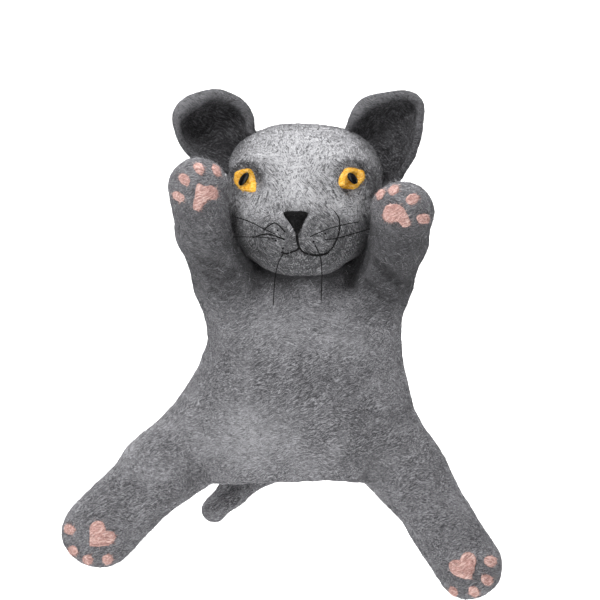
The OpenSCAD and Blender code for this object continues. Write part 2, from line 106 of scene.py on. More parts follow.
def link(name, mesh, material):
    """Object of a mesh and its one material, in the scene."""
    mesh.materials.append(material)
    obj = bpy.data.objects.new(name, mesh)
    bpy.context.scene.collection.objects.link(obj)
    return obj


def shade_smooth(mesh):
    mesh.polygons.foreach_set("use_smooth", np.ones(len(mesh.polygons), bool))


def new_object(name, points, faces, material):
    """Smooth-shaded object from points in millimetres."""
    mesh = bpy.data.meshes.new(name)
    mesh.from_pydata((np.asarray(points) * MM).tolist(), [], [tuple(int(i) for i in f) for f in faces])
    mesh.validate()
    mesh.update()
    shade_smooth(mesh)
    keep_rest(mesh)
    facing_sideways(mesh)
    return link(name, mesh, material)


def facing_sideways(mesh):
    """Stores how much each point of a mesh faces along X, for the way its hairs lie."""
    n = np.empty(len(mesh.vertices) * 3, np.float32)
    mesh.vertex_normals.foreach_get("vector", n)
    store(mesh, "side", np.clip((np.abs(n.reshape(-1, 3)[:, 0]) - 0.62) / 0.2, 0, 1))


def keep_rest(mesh):
    """Stores the rest position of each point, so that patterns stay put when the piece bends."""
    co = np.empty(len(mesh.vertices) * 3, np.float32)
    mesh.vertices.foreach_get("co", co)
    mesh.attributes.new("rest", "FLOAT_VECTOR", "POINT").data.foreach_set("vector", co)


def ring_faces(rings, sides):
    """Quads between neighbouring rings of points."""
    faces = []
    for i in range(rings - 1):
        for j in range(sides):
            k = (j + 1) % sides
            faces.append((i * sides + j, i * sides + k, (i + 1) * sides + k, (i + 1) * sides + j))
    return faces


def ring_caps(rings, sides):
    """Faces that close the first and the last ring."""
    return [tuple(range(sides))[::-1], tuple((rings - 1) * sides + j for j in range(sides))]


def tube(path, radii, sides):
    """Points and faces of a closed tube along a path."""
    path = np.asarray(path, float)
    n = len(path)
    t = np.gradient(path, axis=0)
    t /= np.linalg.norm(t, axis=1)[:, None]
    ref = np.array([0, 1, 0]) if abs(t[0][1]) < 0.8 else np.array([1, 0, 0])
    points, u = [], np.cross(t[0], ref)
    for i in range(n):
        u = u - t[i] * (u @ t[i])
        u /= np.linalg.norm(u)
        v = np.cross(t[i], u)
        a = np.arange(sides) * 2 * math.pi / sides
        points.append(path[i] + radii[i] * (np.cos(a)[:, None] * u + np.sin(a)[:, None] * v))
    points = np.vstack(points + [path[:1], path[-1:]])
    faces = ring_faces(n, sides)
    for j in range(sides):
        k = (j + 1) % sides
        faces.append((n * sides, k, j))
        faces.append((n * sides + 1, (n - 1) * sides + j, (n - 1) * sides + k))
    return points, faces


def dress(obj, nodes=(), body_name=None, bend=None):
    """CAD nodes that it stands for, and the body that it moves with; with a bend, its transform is baked in
    place instead.
    """
    if nodes:
        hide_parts(*nodes)
    if bend:
        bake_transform(obj)
    else:
        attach(obj, body_name)
    return obj


# ---------------------------------------------------------------- smooth noise
def corner_shares(f):
    """The eight corners of a grid cell, each with its share for a point at fractions f of the cell."""
    for corner in np.ndindex(2, 2, 2):
        x, y, z = (f[..., k] if corner[k] else 1 - f[..., k] for k in range(3))
        yield corner, x * y * z


def lattice(cell, seed):
    """Repeatable number from 0 to 1 for each whole-number cell."""
    h = cell[..., 0] * 374761393 + cell[..., 1] * 668265263 + cell[..., 2] * 2147483647 + seed * 974634777
    h = (h ^ (h >> 13)) * 1274126177
    h = h ^ (h >> 16)
    return (h & 0xFFFFFF) / float(0xFFFFFF)


def noise(p, size, seed=0):
    """Smooth noise from -1 to 1 with features of the given size."""
    q = np.asarray(p, float) / size
    c = np.floor(q).astype(np.int64)
    f = q - c
    f = f * f * f * (f * (f * 6 - 15) + 10)
    total = 0
    for corner, share in corner_shares(f):
        total = total + share * lattice(c + np.array(corner), seed)
    return total * 2 - 1


# ---------------------------------------------------------------- distance fields
class Field:
    """Signed distance on a grid, in millimetres, negative inside."""

    def __init__(self, low, high, step):
        self.low = np.array(low, float)
        self.step = step
        self.shape = tuple(int(math.ceil((h - l) / step)) + 1 for l, h in zip(low, high))
        self.d = np.full(self.shape, 60.0, np.float32)

    def block(self, low, high):
        """Index ranges and axes of the part of the grid inside a box."""
        a = np.clip(np.floor((np.array(low) - self.low) / self.step).astype(int), 0, None)
        b = np.clip(np.ceil((np.array(high) - self.low) / self.step).astype(int) + 1, None, self.shape)
        s = tuple(slice(a[k], b[k]) for k in range(3))
        ax = [(self.low[k] + self.step * np.arange(a[k], b[k])).astype(np.float32) for k in range(3)]
        return s, ax[0][:, None, None], ax[1][None, :, None], ax[2][None, None, :]

    def everywhere(self):
        return self.block(self.low, self.low + self.step * np.array(self.shape))

    def join(self, shape, low, high, k):
        """Smooth union with shape(x, y, z) inside a box."""
        s, x, y, z = self.block(low, high)
        self.d[s] = smooth_min(self.d[s], shape(x, y, z), k)

    def carve(self, shape, low, high, k):
        """Smooth difference with shape(x, y, z) inside a box."""
        s, x, y, z = self.block(low, high)
        self.d[s] = -smooth_min(-self.d[s], shape(x, y, z), k)

    def at(self, p):
        """Distance at each point."""
        q = (np.asarray(p) - self.low) / self.step
        q = np.clip(q, 0, np.array(self.shape) - 1.001)
        c = q.astype(int)
        f = q - c
        v = 0
        for (i, j, k), share in corner_shares(f):
            v = v + share * self.d[c[:, 0] + i, c[:, 1] + j, c[:, 2] + k]
        return v

    def normal(self, p, reach=1.0):
        """Direction away from the surface, felt out over a reach."""
        g = np.stack([self.at(p + reach * e) - self.at(p - reach * e) for e in np.eye(3)], 1)
        return g / np.maximum(np.linalg.norm(g, axis=1), 1e-6)[:, None]

    def project(self, p, height=0.0, rounds=4):
        """Moves points along the surface's normal until they stand height above it."""
        p = np.array(p, float)
        height = np.broadcast_to(height, (len(p),))
        for _ in range(rounds):
            g = np.stack([self.at(p + e) - self.at(p - e) for e in np.eye(3)], 1) / 2
            p = p - g * ((self.at(p) - height) / np.maximum((g * g).sum(1), 0.2))[:, None]
        return p

    def front(self, x, z, start=-75.0):
        """Where a line along +Y from in front first meets the surface."""
        p = np.stack([np.asarray(x, float), np.full(len(x), start), np.asarray(z, float)], 1)
        for _ in range(60):
            p[:, 1] += np.clip(self.at(p) * 0.7, -1, 8)
        return p

    def mesh(self):
        """Points and quads of the surface."""
        grid = openvdb.FloatGrid(60.0)
        grid.copyFromArray(self.d)
        points, quads = grid.convertToQuads(0.0)
        return points * self.step + self.low, quads


def smooth_min(a, b, k):
    """Smaller of two distances, rounded over k where they meet."""
    h = np.clip(0.5 + 0.5 * (b - a) / k, 0, 1)
    return b * (1 - h) + a * h - k * h * (1 - h)


def capsule(a, b, ra, rb, flat=1.0):
    """Tapered round limb from a to b, flattened along Y by flat."""
    a, b = np.array(a, float), np.array(b, float)
    ba = (b - a) * [1, flat, 1]
    square = float(ba @ ba)

    def shape(x, y, z):
        px, py, pz = x - a[0], (y - a[1]) * flat, z - a[2]
        h = np.clip((px * ba[0] + py * ba[1] + pz * ba[2]) / square, 0, 1)
        away = np.sqrt((px - ba[0] * h) ** 2 + (py - ba[1] * h) ** 2 + (pz - ba[2] * h) ** 2)
        return away - (ra + (rb - ra) * h)

    return shape


def ellipsoid(c, r):
    """Ellipsoid of centre c and radii r."""

    def shape(x, y, z):
        u, v, w = x - c[0], y - c[1], z - c[2]
        q = np.sqrt((u / r[0]) ** 2 + (v / r[1]) ** 2 + (w / r[2]) ** 2)
        g = np.sqrt((u / r[0] ** 2) ** 2 + (v / r[1] ** 2) ** 2 + (w / r[2] ** 2) ** 2)
        return q * (q - 1) / np.maximum(g, 1e-4)

    return shape


# ---------------------------------------------------------------- body
WALL = 4.5
# height, centre X, half width, half depth of the torso, hem to neck
TORSO = np.array([
    [-40, -2, 51.5, 25.5], [0, -2, 52, 26], [12, -1, 54, 27.5], [25, 0.5, 57, 29], [38, 2.5, 62, 30.5],
    [50, 4.5, 66, 31.5], [62, 6, 64.5, 32], [75, 7.5, 61, 32], [85, 9, 58.5, 31.5], [95, 9.2, 56, 28.5],
    [104, 9.4, 50, 25], [112, 9.5, 42, 21.5], [120, 9.5, 32, 20], [150, 9.5, 20, 19],
])
TORSO_SQUARENESS = 2.35
TORSO_TOP = 132
HEM_ROUND = 2.2


def torso_column(inset):
    """Torso's rounded-square column without its hem, set in from its surface."""

    def shape(x, y, z):
        zz = z.ravel()
        c = np.interp(zz, TORSO[:, 0], TORSO[:, 1])[None, None, :]
        a = np.interp(zz, TORSO[:, 0], TORSO[:, 2])[None, None, :] - inset
        b = np.interp(zz, TORSO[:, 0], TORSO[:, 3])[None, None, :] - inset
        e = TORSO_SQUARENESS
        u, v = np.abs(x - c) / a, np.abs(y) / b
        rho = np.maximum((u**e + v**e) ** (1 / e), 1e-3)
        slope = rho ** (1 - e) * np.sqrt((u ** (e - 1) / a) ** 2 + (v ** (e - 1) / b) ** 2)
        return (rho - 1) / np.maximum(slope, 1 / 70)

    return shape


def torso_solid(x, y, z):
    """Torso with a rounded, slightly wavy hem."""
    d = torso_column(0)(x, y, z)
    hem = 0.7 * np.sin(x / 15 + 0.6) + 0.4 * np.sin(x / 6.3 + y / 9) - 0.2
    d = -smooth_min(-d, z - hem, HEM_ROUND * 2)
    return np.maximum(d, z - TORSO_TOP)


# stations of each limb from its root: centre and radius
ARMS = {
    "left": [((-25, 0, 90), 23), ((-40, -9, 121), 17.5), ((-51.8, -28, 150), 15.4),
             ((-55.2, -40, 177.4), 18)],
    "right": [((43, 0, 90), 23), ((56.5, -9, 119), 16), ((65.5, -28, 146), 16.4), ((67, -39, 162), 19.2)],
}
LEGS = {
    "left": [((-44, 0, 40), 25), ((-77, 0, 9), 21.2), ((-116.5, 0, -30.5), 22)],
    "right": [((48, 0, 42), 25), ((72.5, 0, 5), 20.5), ((108.5, 0, -51), 20.6)],
}
LEG_FLAT = 1.28
TAIL = [
    ((7, 22, 46), 8), ((6.5, 36, 40), 9.5), ((1, 50, 24), 9.3),
    ((-15, 55, 5), 8.8), ((-36, 49, -9), 8.2), ((-47.5, 44, -20), 7.5),
]
THROAT = ((9, -2, 98), (8, -7, 130), 26, 18)
SHOULDERS = ((-30, 9, 121), (48, 9, 121), 14.5)
INNER_ARMS = (((-33, 2, 122), (-41, -8, 148)), ((51, 2, 125), (58.5, -6, 148)))
INNER_ARM_RADIUS = 13.5
# room for the hand: top of the palm's part, way into the neck, felt around the ways into the arms
PALM_TOP = 116
NECK_WAY = ((9, 0, 100), (9, 0, 160), 14, 12)
ARM_WALL = 6
# soft folds pressed into the front: stops [X, Z], width, depth, softness
FOLDS = (
    ([(-57, 3), (-58, 18), (-54, 34), (-50, 46)], 4, 1.6, 5),  # left leg against the torso
    ([(50, 3), (55, 15), (62, 30), (66, 42)], 4, 1.5, 5),  # right leg against the torso
    ([(-58, 139), (-53, 134), (-47, 132), (-40, 132)], 2.5, 1.4, 2.5),  # left elbow
    ([(-51, 127), (-46, 123), (-40, 122), (-33, 125)], 2.5, 1.5, 2.5),
    ([(-46, 116), (-42, 113), (-37, 112), (-30, 115)], 2.5, 1.5, 2.5),
    ([(66, 121), (62, 123), (57, 127), (51, 133)], 2.5, 1.6, 2.5),  # right elbow
    ([(62, 110), (57, 112), (51, 116), (45, 121)], 2.5, 1.5, 2.5),
)


def around(*points, margin):
    """Box around points, with a margin."""
    p = np.array(points, float)
    return p.min(0) - margin, p.max(0) + margin


def chain(field, stations, k, flat=1.0):
    """Limb through its stations, joined to a field."""
    for (a, ra), (b, rb) in zip(stations, stations[1:]):
        low, high = around(a, b, margin=max(ra, rb) + 22)
        field.join(capsule(a, b, ra, rb, flat), low, high, k)


body = Field((-146, -66, -80), (136, 72, 212), 1.05)
body.join(torso_solid, (-90, -60, -20), (100, 60, 150), 0.1)
for side in ("left", "right"):
    chain(body, ARMS[side], 6)
    chain(body, LEGS[side], 11, LEG_FLAT)
chain(body, TAIL, 5)
body.join(capsule(*THROAT), (-45, -45, 60), (60, 45, 165), 6)
body.join(capsule(*SHOULDERS, SHOULDERS[2]), (-70, -40, 85), (90, 45, 155), 9)
for root, tip in INNER_ARMS:
    body.join(capsule(root, tip, INNER_ARM_RADIUS, INNER_ARM_RADIUS), *around(root, tip, margin=34), 5)


def crease(stops, width, depth, soft):
    """Soft fold pressed into the front of the body along points [X, Z]."""
    line = smooth_path([(x, 0, z) for x, z in stops], 4)
    at = body.front(line[:, 0], line[:, 2])
    n = body.normal(at, 3.0)
    at = at + n * (width - depth)
    pieces = [capsule(a, b, width, width) for a, b in zip(at, at[1:])]

    def groove(x, y, z):
        return np.minimum.reduce([piece(x, y, z) for piece in pieces])

    body.carve(groove, *around(*at, margin=width + soft * 2), soft)


for fold in FOLDS:
    crease(*fold)

# hollow for the hand, with ways into the neck and both arms
hollow = Field(body.low, body.low + body.step * (np.array(body.shape) - 1), body.step)
palm_room = torso_column(WALL)
hollow.join(lambda x, y, z: np.maximum(palm_room(x, y, z), z - PALM_TOP), (-80, -50, -40), (90, 50, 130), 0.1)
hollow.join(capsule(*NECK_WAY), (-20, -30, 60), (40, 30, 180), 6)
for side in ("left", "right"):
    inner = [(c, r - ARM_WALL) for c, r in ARMS[side]]
    inner[0] = (inner[0][0], 13)
    inner[-1] = (tuple(np.array(inner[-1][0]) * 0.5 + np.array(inner[-2][0]) * 0.5), 9)
    chain(hollow, inner, 4)
body.d = -smooth_min(-body.d, hollow.d, 1.5)
del hollow

# ---------------------------------------------------------------- head
HEAD_BOX = ((-48, -64, 112), (66, 56, 226))
head = Field(*HEAD_BOX, 0.85)


def skull(x, y, z):
    """Egg-shaped head, broad and squared at the top, round at the jaw."""
    top = np.clip((z - 168) / 24, 0, 1)
    e = 2.15 + 0.5 * top * top * (3 - 2 * top)
    c = np.where(z > 176, 41.5, 46.5)
    q = np.abs((x - 9) / 48.6) ** e + np.abs((z - 176) / c) ** e + np.abs((y - 4) / 41) ** 2.1
    return (q ** (1 / 2.3) - 1) * 40


# middle [X, Z] and half width and height of each muzzle pad
MUZZLES = {"muzzle_left": ((-6.5, 147.4), (10.6, 9.6)), "muzzle_right": ((17.2, 150.8), (11.4, 12.6))}
MUZZLE_Y = -39
MUZZLE_DEPTH = 9
BROWS = (((-32, -20, 190), (-19, -31, 193)), ((43, -20, 189), (30, -31, 193)))
# middle and depth of each eye socket
SOCKETS = (((-27.5, -29, 181), 5.5), ((39, -29, 181), 3.5))
FINGER_RADIUS = 9
NECK_GAP = 0.6


def muzzle_pad(name):
    (x, z), (half_width, half_height) = MUZZLES[name]
    return ellipsoid((x, MUZZLE_Y, z), (half_width, MUZZLE_DEPTH, half_height))


head.join(skull, *HEAD_BOX, 0.1)
head.join(ellipsoid((6.8, -12, 154), (43, 28, 27)), *HEAD_BOX, 7)  # cheeks and jaw
head.join(ellipsoid((7, -19, 136), (23, 15, 11.5)), *HEAD_BOX, 8)  # chin
head.join(ellipsoid((5.5, -31, 168), (10, 12, 20)), *HEAD_BOX, 12)  # bridge of the nose
head.join(ellipsoid((5, -31, 150), (20, 11, 13)), *HEAD_BOX, 8)  # muzzle
for outer, inner in BROWS:
    head.join(capsule(outer, inner, 3, 3.6), *HEAD_BOX, 8)
for middle, deep in SOCKETS:
    head.carve(ellipsoid(middle, (9, deep, 7)), *HEAD_BOX, 7)
for (x, z), (half_width, half_height) in MUZZLES.values():  # swelling under each muzzle pad
    head.join(ellipsoid((x, MUZZLE_Y + 3, z), (half_width + 3, 9.5, half_height + 3)), *HEAD_BOX, 5)
head.carve(capsule((9, 0, 100), (9, 0, 196), FINGER_RADIUS, FINGER_RADIUS), *HEAD_BOX, 0.6)
head.carve(ellipsoid((9, 0, 139), (21, 19.5, 15)), *HEAD_BOX, 1.5)  # seat of the neck
head.carve(capsule(THROAT[0], THROAT[1], THROAT[2] - NECK_GAP, THROAT[3] - NECK_GAP), *HEAD_BOX, 1)

muzzle_fields = {}
face = Field(*HEAD_BOX, head.step)  # head and muzzle pads together
face.d = head.d.copy()
for name, ((x, z), _) in MUZZLES.items():
    f = Field((x - 18, -62, z - 19), (x + 18, -20, z + 19), 0.6)
    f.join(muzzle_pad(name), f.low, f.low + 60, 0.1)
    muzzle_fields[name] = f
    face.join(muzzle_pad(name), *HEAD_BOX, 0.5)


# ---------------------------------------------------------------- felt relief
# size of the lumps, their height and their noise seed
LUMPS = ((31, 0.6, 5), (19, 0.5, 1), (8.5, 0.32, 2), (4.1, 0.2, 3), (2.2, 0.11, 4))


def felt_relief(p, n, amount=1.0):
    """Lumps and dimples of hand-felted wool, moved along the normal."""
    h = sum(height * noise(p, size, seed) for size, height, seed in LUMPS)
    return p + n * (h * amount)[:, None]


# ---------------------------------------------------------------- materials
class Shader:
    """Material with one Principled BSDF, and short ways to add the nodes in front of it."""

    def __init__(self, name, rough):
        self.material = bpy.data.materials.new(name)
        self.material.use_nodes = True
        self.tree = self.material.node_tree
        self.inputs = self.tree.nodes["Principled BSDF"].inputs
        self.inputs["Roughness"].default_value = rough

    def node(self, kind, **values):
        n = self.tree.nodes.new(kind)
        for key, value in values.items():
            if key in n.inputs:
                n.inputs[key].default_value = value
            else:
                setattr(n, key, value)
        return n

    def link(self, value, socket):
        """Sets a number or a colour, links anything else."""
        if isinstance(value, (int, float)):
            socket.default_value = value
        elif isinstance(value, tuple):
            socket.default_value = (*value, 1)
        else:
            self.tree.links.new(value, socket)

    def maths(self, operation, a, b=0.0, clamp=False):
        n = self.node("ShaderNodeMath", operation=operation, use_clamp=clamp)
        self.link(a, n.inputs[0])
        self.link(b, n.inputs[1])
        return n.outputs[0]

    def times(self, a, b, clamp=False):
        return self.maths("MULTIPLY", a, b, clamp)

    def plus(self, a, b, clamp=False):
        return self.maths("ADD", a, b, clamp)

    def minus(self, a, b, clamp=False):
        return self.maths("SUBTRACT", a, b, clamp)

    def ramp(self, fac, stops):
        n = self.node("ShaderNodeValToRGB")
        self.link(fac, n.inputs["Fac"])
        elements = n.color_ramp.elements
        while len(elements) < len(stops):
            elements.new(0.5)
        for element, (position, colour) in zip(elements, stops):
            element.position = position
            element.color = (*colour, 1)
        return n.outputs["Color"]

    def mix(self, fac, a, b):
        n = self.node("ShaderNodeMix", data_type="RGBA")
        for key, value in (("Factor", fac), ("A", a), ("B", b)):
            self.link(value, [socket for socket in n.inputs if socket.name == key and socket.enabled][0])
        return [socket for socket in n.outputs if socket.enabled][0]

    def noise(self, vector, scale, detail, rough):
        n = self.node("ShaderNodeTexNoise", Scale=scale, Detail=detail, Roughness=rough)
        self.link(vector, n.inputs["Vector"])
        return n.outputs["Fac"]

    def attribute(self, name, output="Fac"):
        return self.node("ShaderNodeAttribute", attribute_name=name).outputs[output]

    def between(self, a, b, share):
        """Value a where share is 1, b where it is 0."""
        return self.plus(self.times(a, share), self.times(b, self.minus(1.0, share)))


def dimmed(colour, factor):
    return tuple(c * factor for c in colour)


def swirled(s, rest):
    """Rest position pushed about a little, so that hairs lie in curved directions."""
    swirl = s.node("ShaderNodeTexNoise", Scale=70.0, Detail=2.0)
    s.link(rest, swirl.inputs["Vector"])
    push = s.node("ShaderNodeVectorMath", operation="SCALE", Scale=0.006)
    s.link(swirl.outputs["Color"], push.inputs[0])
    warped = s.node("ShaderNodeVectorMath", operation="ADD")
    s.link(rest, warped.inputs[0])
    s.link(push.outputs[0], warped.inputs[1])
    return warped.outputs[0]


def streaks(s, warped, axis, angle, offset, fine):
    """Noise drawn out into hairs along an axis, turned by an angle."""
    turned = s.node("ShaderNodeMapping")
    turned.inputs["Rotation"].default_value = (0, angle, 0) if axis == "X" else (angle, 0, 0)
    stretched = s.node("ShaderNodeMapping")
    stretched.inputs["Scale"].default_value = (0.15, 0.7, 1) if axis == "X" else (0.7, 0.15, 1)
    stretched.inputs["Location"].default_value = offset
    s.link(warped, turned.inputs["Vector"])
    s.link(turned.outputs[0], stretched.inputs["Vector"])
    return s.noise(stretched.outputs[0], fine, 3, 0.62)


def matted_hairs(s, rest, warped, lay, fine):
    """Hairs lying three ways, one strongest in each patch; along Y where the felt faces sideways."""
    side = s.attribute("side")
    hairs = []
    for k, angle in enumerate(lay):
        offset = (0.31 * k, 0.2 * k, -0.4 * k)
        along_x, along_y = (streaks(s, warped, axis, math.radians(angle), offset, fine) for axis in "XY")
        hairs.append(s.between(along_y, along_x, side))
    first = s.times(s.minus(s.noise(rest, 38, 2, 0.5), 0.42), 6.0, True)
    second = s.times(s.minus(s.noise(rest, 51, 2, 0.5), 0.44), 6.0, True)
    return s.between(s.between(hairs[0], hairs[1], first), hairs[2], second)


def pricked(s, colour, rest, warped, dark, strength):
    """Dark dots where the felting needle went in."""
    cells = s.node("ShaderNodeTexVoronoi", Scale=430.0, feature="F1")
    s.link(warped, cells.inputs["Vector"])
    dot = s.minus(1.0, s.times(cells.outputs["Distance"], 3.6, True), True)
    hit = s.maths("GREATER_THAN", s.noise(rest, 320, 2, 0.5), 0.47)
    return s.mix(s.times(s.times(dot, hit), strength), colour, dimmed(dark, 0.5))


def felt_material(name, dark, mid, light, hair_light, pricks=0.0, sheen=0.35, pale=None, lay=(-16, 7, 26),
                  bite=0.6, patchy=0.4, fine=1350, calm=1.0):
    """Wet-felted wool: mottled tone, matted hairs lighter and darker than the wool, fine bump, and painted
    light and shade stored on the mesh.
    """
    s = Shader(name, 0.95)
    s.inputs["Specular IOR Level"].default_value = 0.12
    s.inputs["Sheen Weight"].default_value = sheen
    s.inputs["Sheen Roughness"].default_value = 0.55
    s.inputs["Sheen Tint"].default_value = (*light, 1)
    rest = s.attribute("rest", "Vector")
    warped = swirled(s, rest)
    hair = matted_hairs(s, rest, warped, lay, fine)
    mottle = s.noise(warped, 60, 6, 0.7)
    grain = s.noise(warped, 1000, 4, 0.75)
    tone = s.plus(s.times(mottle, 0.4), s.times(grain, 0.6))
    colour = s.ramp(tone, [(0.4, dark), (0.5, mid), (0.6, light)])
    fleck = s.times(s.minus(hair, 0.515), 13.0, True)
    shade = s.times(s.minus(0.485, hair), 13.0, True)
    if pale is not None:
        told = s.attribute("pale")
        patch = s.noise(warped, 150, 4, 0.65)
        # above 0 lighter: pale wool on the face, lighter ear rims and backs, painted light over the hand
        colour = s.mix(s.times(told, s.plus(s.times(patch, 1.3), 0.35), True), colour, pale)
        # below 0 darker: painted shade on the jaw, in the eye sockets, around the muzzle pads and where the
        # body turns from the light; darker wool on the muzzle pads
        colour = s.mix(s.times(s.times(told, -1.0), s.plus(patch, 0.4), True), colour, dimmed(dark, 0.6))
    if calm < 1:  # hair contrast only as strong as this away from the pale face
        bite = s.times(s.plus(s.maths("ABSOLUTE", told), calm, True), bite)
        fleck = s.times(fleck, s.plus(s.times(told, 0.45), 1.05, True))
    colour = s.mix(s.times(fleck, bite), colour, hair_light)
    colour = s.mix(s.times(shade, bite), colour, dimmed(dark, 0.55))
    if pricks:
        colour = pricked(s, colour, rest, warped, dark, pricks)
    # broad lighter and darker patches, and painted shade down in the folds between parts
    broad = s.minus(s.noise(rest, 27, 3, 0.55), 0.5)
    colour = s.mix(s.times(s.times(broad, 5.0, True), patchy), colour, hair_light)
    colour = s.mix(s.times(s.times(broad, -5.5, True), patchy * 1.3), colour, dark)
    colour = s.mix(s.times(s.attribute("crease_shade"), 0.85), colour, dimmed(dark, 0.3))
    s.link(colour, s.inputs["Base Color"])
    bump = s.node("ShaderNodeBump", Strength=0.75, Distance=0.0009)
    s.link(s.plus(s.times(hair, 1.4), grain), bump.inputs["Height"])
    s.link(bump.outputs[0], s.inputs["Normal"])
    return s.material


def plain_material(name, colour, rough, specular, vary, scale):
    """Glass or thread, uneven in tone and in roughness."""
    s = Shader(name, rough)
    s.inputs["Specular IOR Level"].default_value = specular
    uneven = s.noise(s.attribute("rest", "Vector"), scale, 3, 0.6)
    tones = s.ramp(uneven, [(0.3, dimmed(colour, 1 - vary)), (0.7, dimmed(colour, 1 + vary))])
    s.link(tones, s.inputs["Base Color"])
    s.link(s.plus(s.times(uneven, 0.12), rough - 0.06, True), s.inputs["Roughness"])
    return s.material


def fibre_material(name, dark, mid, light):
    """Wool hairs, each with its own tone from dark to light."""
    s = Shader(name, 0.8)
    s.inputs["Specular IOR Level"].default_value = 0.2
    uneven = s.noise(s.attribute("rest", "Vector"), 600, 2, 0.5)
    tone = s.plus(s.attribute("tone"), s.times(s.minus(uneven, 0.5), 0.3), True)
    s.link(s.ramp(tone, [(0.0, dark), (0.5, mid), (1.0, light)]), s.inputs["Base Color"])
    return s.material


# on the body the pale colour is painted light over the hand
m_body = felt_material(
    "felt_body", (0.05, 0.049, 0.053), (0.115, 0.113, 0.121), (0.225, 0.223, 0.236), (0.4, 0.4, 0.417),
    pale=(0.26, 0.26, 0.272), bite=0.55, patchy=0.16, fine=2000)
m_head = felt_material(
    "felt_head", (0.06, 0.06, 0.064), (0.14, 0.139, 0.147), (0.27, 0.268, 0.28), (0.45, 0.45, 0.465),
    pricks=0.9, pale=(0.44, 0.44, 0.455), lay=(72, 18, -48), bite=0.8, patchy=0.1, calm=0.5)
m_ear = felt_material(
    "felt_ear", (0.018, 0.0175, 0.019), (0.04, 0.039, 0.042), (0.08, 0.079, 0.085), (0.14, 0.14, 0.148),
    pale=(0.17, 0.168, 0.178), lay=(55, 15, -35), patchy=0.2)
m_pink = felt_material(
    "felt_pink", (0.3, 0.16, 0.143), (0.46, 0.27, 0.24), (0.6, 0.4, 0.36), (0.76, 0.6, 0.55),
    sheen=0.1, patchy=0.0)
m_yellow = felt_material(
    "felt_yellow", (0.75, 0.3, 0.02), (1.0, 0.5, 0.045), (1.0, 0.66, 0.12), (1.0, 0.78, 0.3),
    sheen=0.0, patchy=0.0)
m_black = felt_material(
    "felt_black", (0.001, 0.001, 0.001), (0.0025, 0.0025, 0.0027), (0.006, 0.0058, 0.0062),
    (0.014, 0.014, 0.0145), sheen=0.0, patchy=0.0)
m_bead = plain_material("bead_black", (0.004, 0.004, 0.0045), 0.2, 0.3, vary=0.15, scale=300)
m_thread = plain_material("thread_black", (0.004, 0.004, 0.0042), 0.7, 0.08, vary=0.4, scale=2500)
WOOL = {
    "grey": ((0.04, 0.04, 0.043), (0.14, 0.139, 0.147), (0.42, 0.42, 0.44)),
    "pale": ((0.03, 0.03, 0.032), (0.24, 0.24, 0.25), (0.72, 0.72, 0.74)),
    "dark": ((0.015, 0.015, 0.016), (0.09, 0.09, 0.095), (0.34, 0.34, 0.355)),
    "pink": ((0.32, 0.17, 0.15), (0.5, 0.3, 0.265), (0.76, 0.58, 0.53)),
    "yellow": ((0.75, 0.36, 0.04), (0.92, 0.54, 0.1), (1.0, 0.78, 0.34)),
    "black": ((0.002, 0.002, 0.002), (0.006, 0.006, 0.006), (0.03, 0.03, 0.031)),
}
m_fibre = {colour: fibre_material("wool_fibre_" + colour, *tones) for colour, tones in WOOL.items()}


# ---------------------------------------------------------------- tones, painted light and painted shade stored on the felt
def crease_shade(p, n):
    """Painted shade: 0 on open felt, towards 1 down in the folds between head, arms, body and legs."""
    total = 0
    for reach in (4, 9, 16):
        q = p + n * reach
        near = []
        for f in (body, head):
            top = f.low + f.step * (np.array(f.shape) - 1)
            outside = np.linalg.norm(np.maximum(f.low - q, 0) + np.maximum(q - top, 0), axis=1)
            near.append(f.at(q) + outside)
        total = total + 1 - np.clip(np.minimum(*near) / reach, 0, 1)
    return np.clip(total / 3 * 1.25 - 0.12, 0, 1)


def oval(x, z, middle, size):
    """1 in the middle of a soft-edged oval patch, falling to 0 around it."""
    return np.exp(-(((x - middle[0]) / size[0]) ** 2) - ((z - middle[1]) / size[1]) ** 2)


def light_and_shade_over_hand(p):
    """Painted light above 0 where the felt bulges over the hand inside, painted shade below 0 where it turns
    away from the light.
    """
    x, z = p[:, 0], p[:, 2]
    belly = oval(x, z, (-26, 28), (30, 21))
    chest = oval(x, z, (-5, 94), (27, 12)) + 0.7 * oval(x, z, (40, 82), (13, 13))
    turned_from_light = oval(x, z, (46, 24), (24, 30)) + 0.35 * oval(x, z, (8, 66), (22, 12))
    return (0.9 * belly + 0.55 * chest - 0.42 * turned_from_light) * np.clip(-p[:, 1] / 14, 0, 1)


def shade_under_chin(p):
    """Painted shade on the throat and on the upper arms beside the head."""
    x, z = np.abs(p[:, 0] - 9), p[:, 2]
    front = np.clip(0.5 - p[:, 1] / 12, 0, 1)
    side = np.clip((x - 22) / 16, 0, 1) * np.where(p[:, 0] > 9, 1.2, 1)
    arm = side * np.interp(z, [92, 104, 120, 150, 172], [0, 0.3, 0.68, 0.5, 0])
    throat = np.exp(-((x / 27) ** 4)) * np.interp(z, [98, 112, 124, 134], [0, 0.3, 0.75, 0.95])
    return (arm + throat) * front


# ---------------------------------------------------------------- felt skin of the body, cut where it bends
points, quads = body.mesh()
points = felt_relief(points, body.normal(points, body.step * 1.2))
centres = points[quads].mean(1)

# piece: (bodies, start, end) of each bend; the piece begins at start
BENDS = {
    "arm_left": ("torso", "arm_left", (-32, -2, 110), (-52, -10, 126)),
    "arm_right": ("torso", "arm_right", (50, -2, 110), (69, -10, 126)),
    "paw_left": ("arm_left", "paw_left", (-50, -21, 143), (-54, -33, 158)),
    "paw_right": ("arm_right", "paw_right", (65, -20, 139), (67, -34, 153)),
    "leg_left": ("torso", "leg_left", (-60, 0, 14), (-84, 0, -4)),
    "leg_right": ("torso", "leg_right", (56, 0, 14), (80, 0, -4)),
    "tail": ("torso", "tail", (6.5, 34, 41), (3, 47, 28)),
    "neck": ("torso", "neck", (9, 0, 124), (9, 0, 137)),
}


def past(p, name):
    """True for points beyond the start of a bend."""
    _, _, start, end = BENDS[name]
    return (p - np.array(start)) @ (np.array(end, float) - np.array(start)) > 0


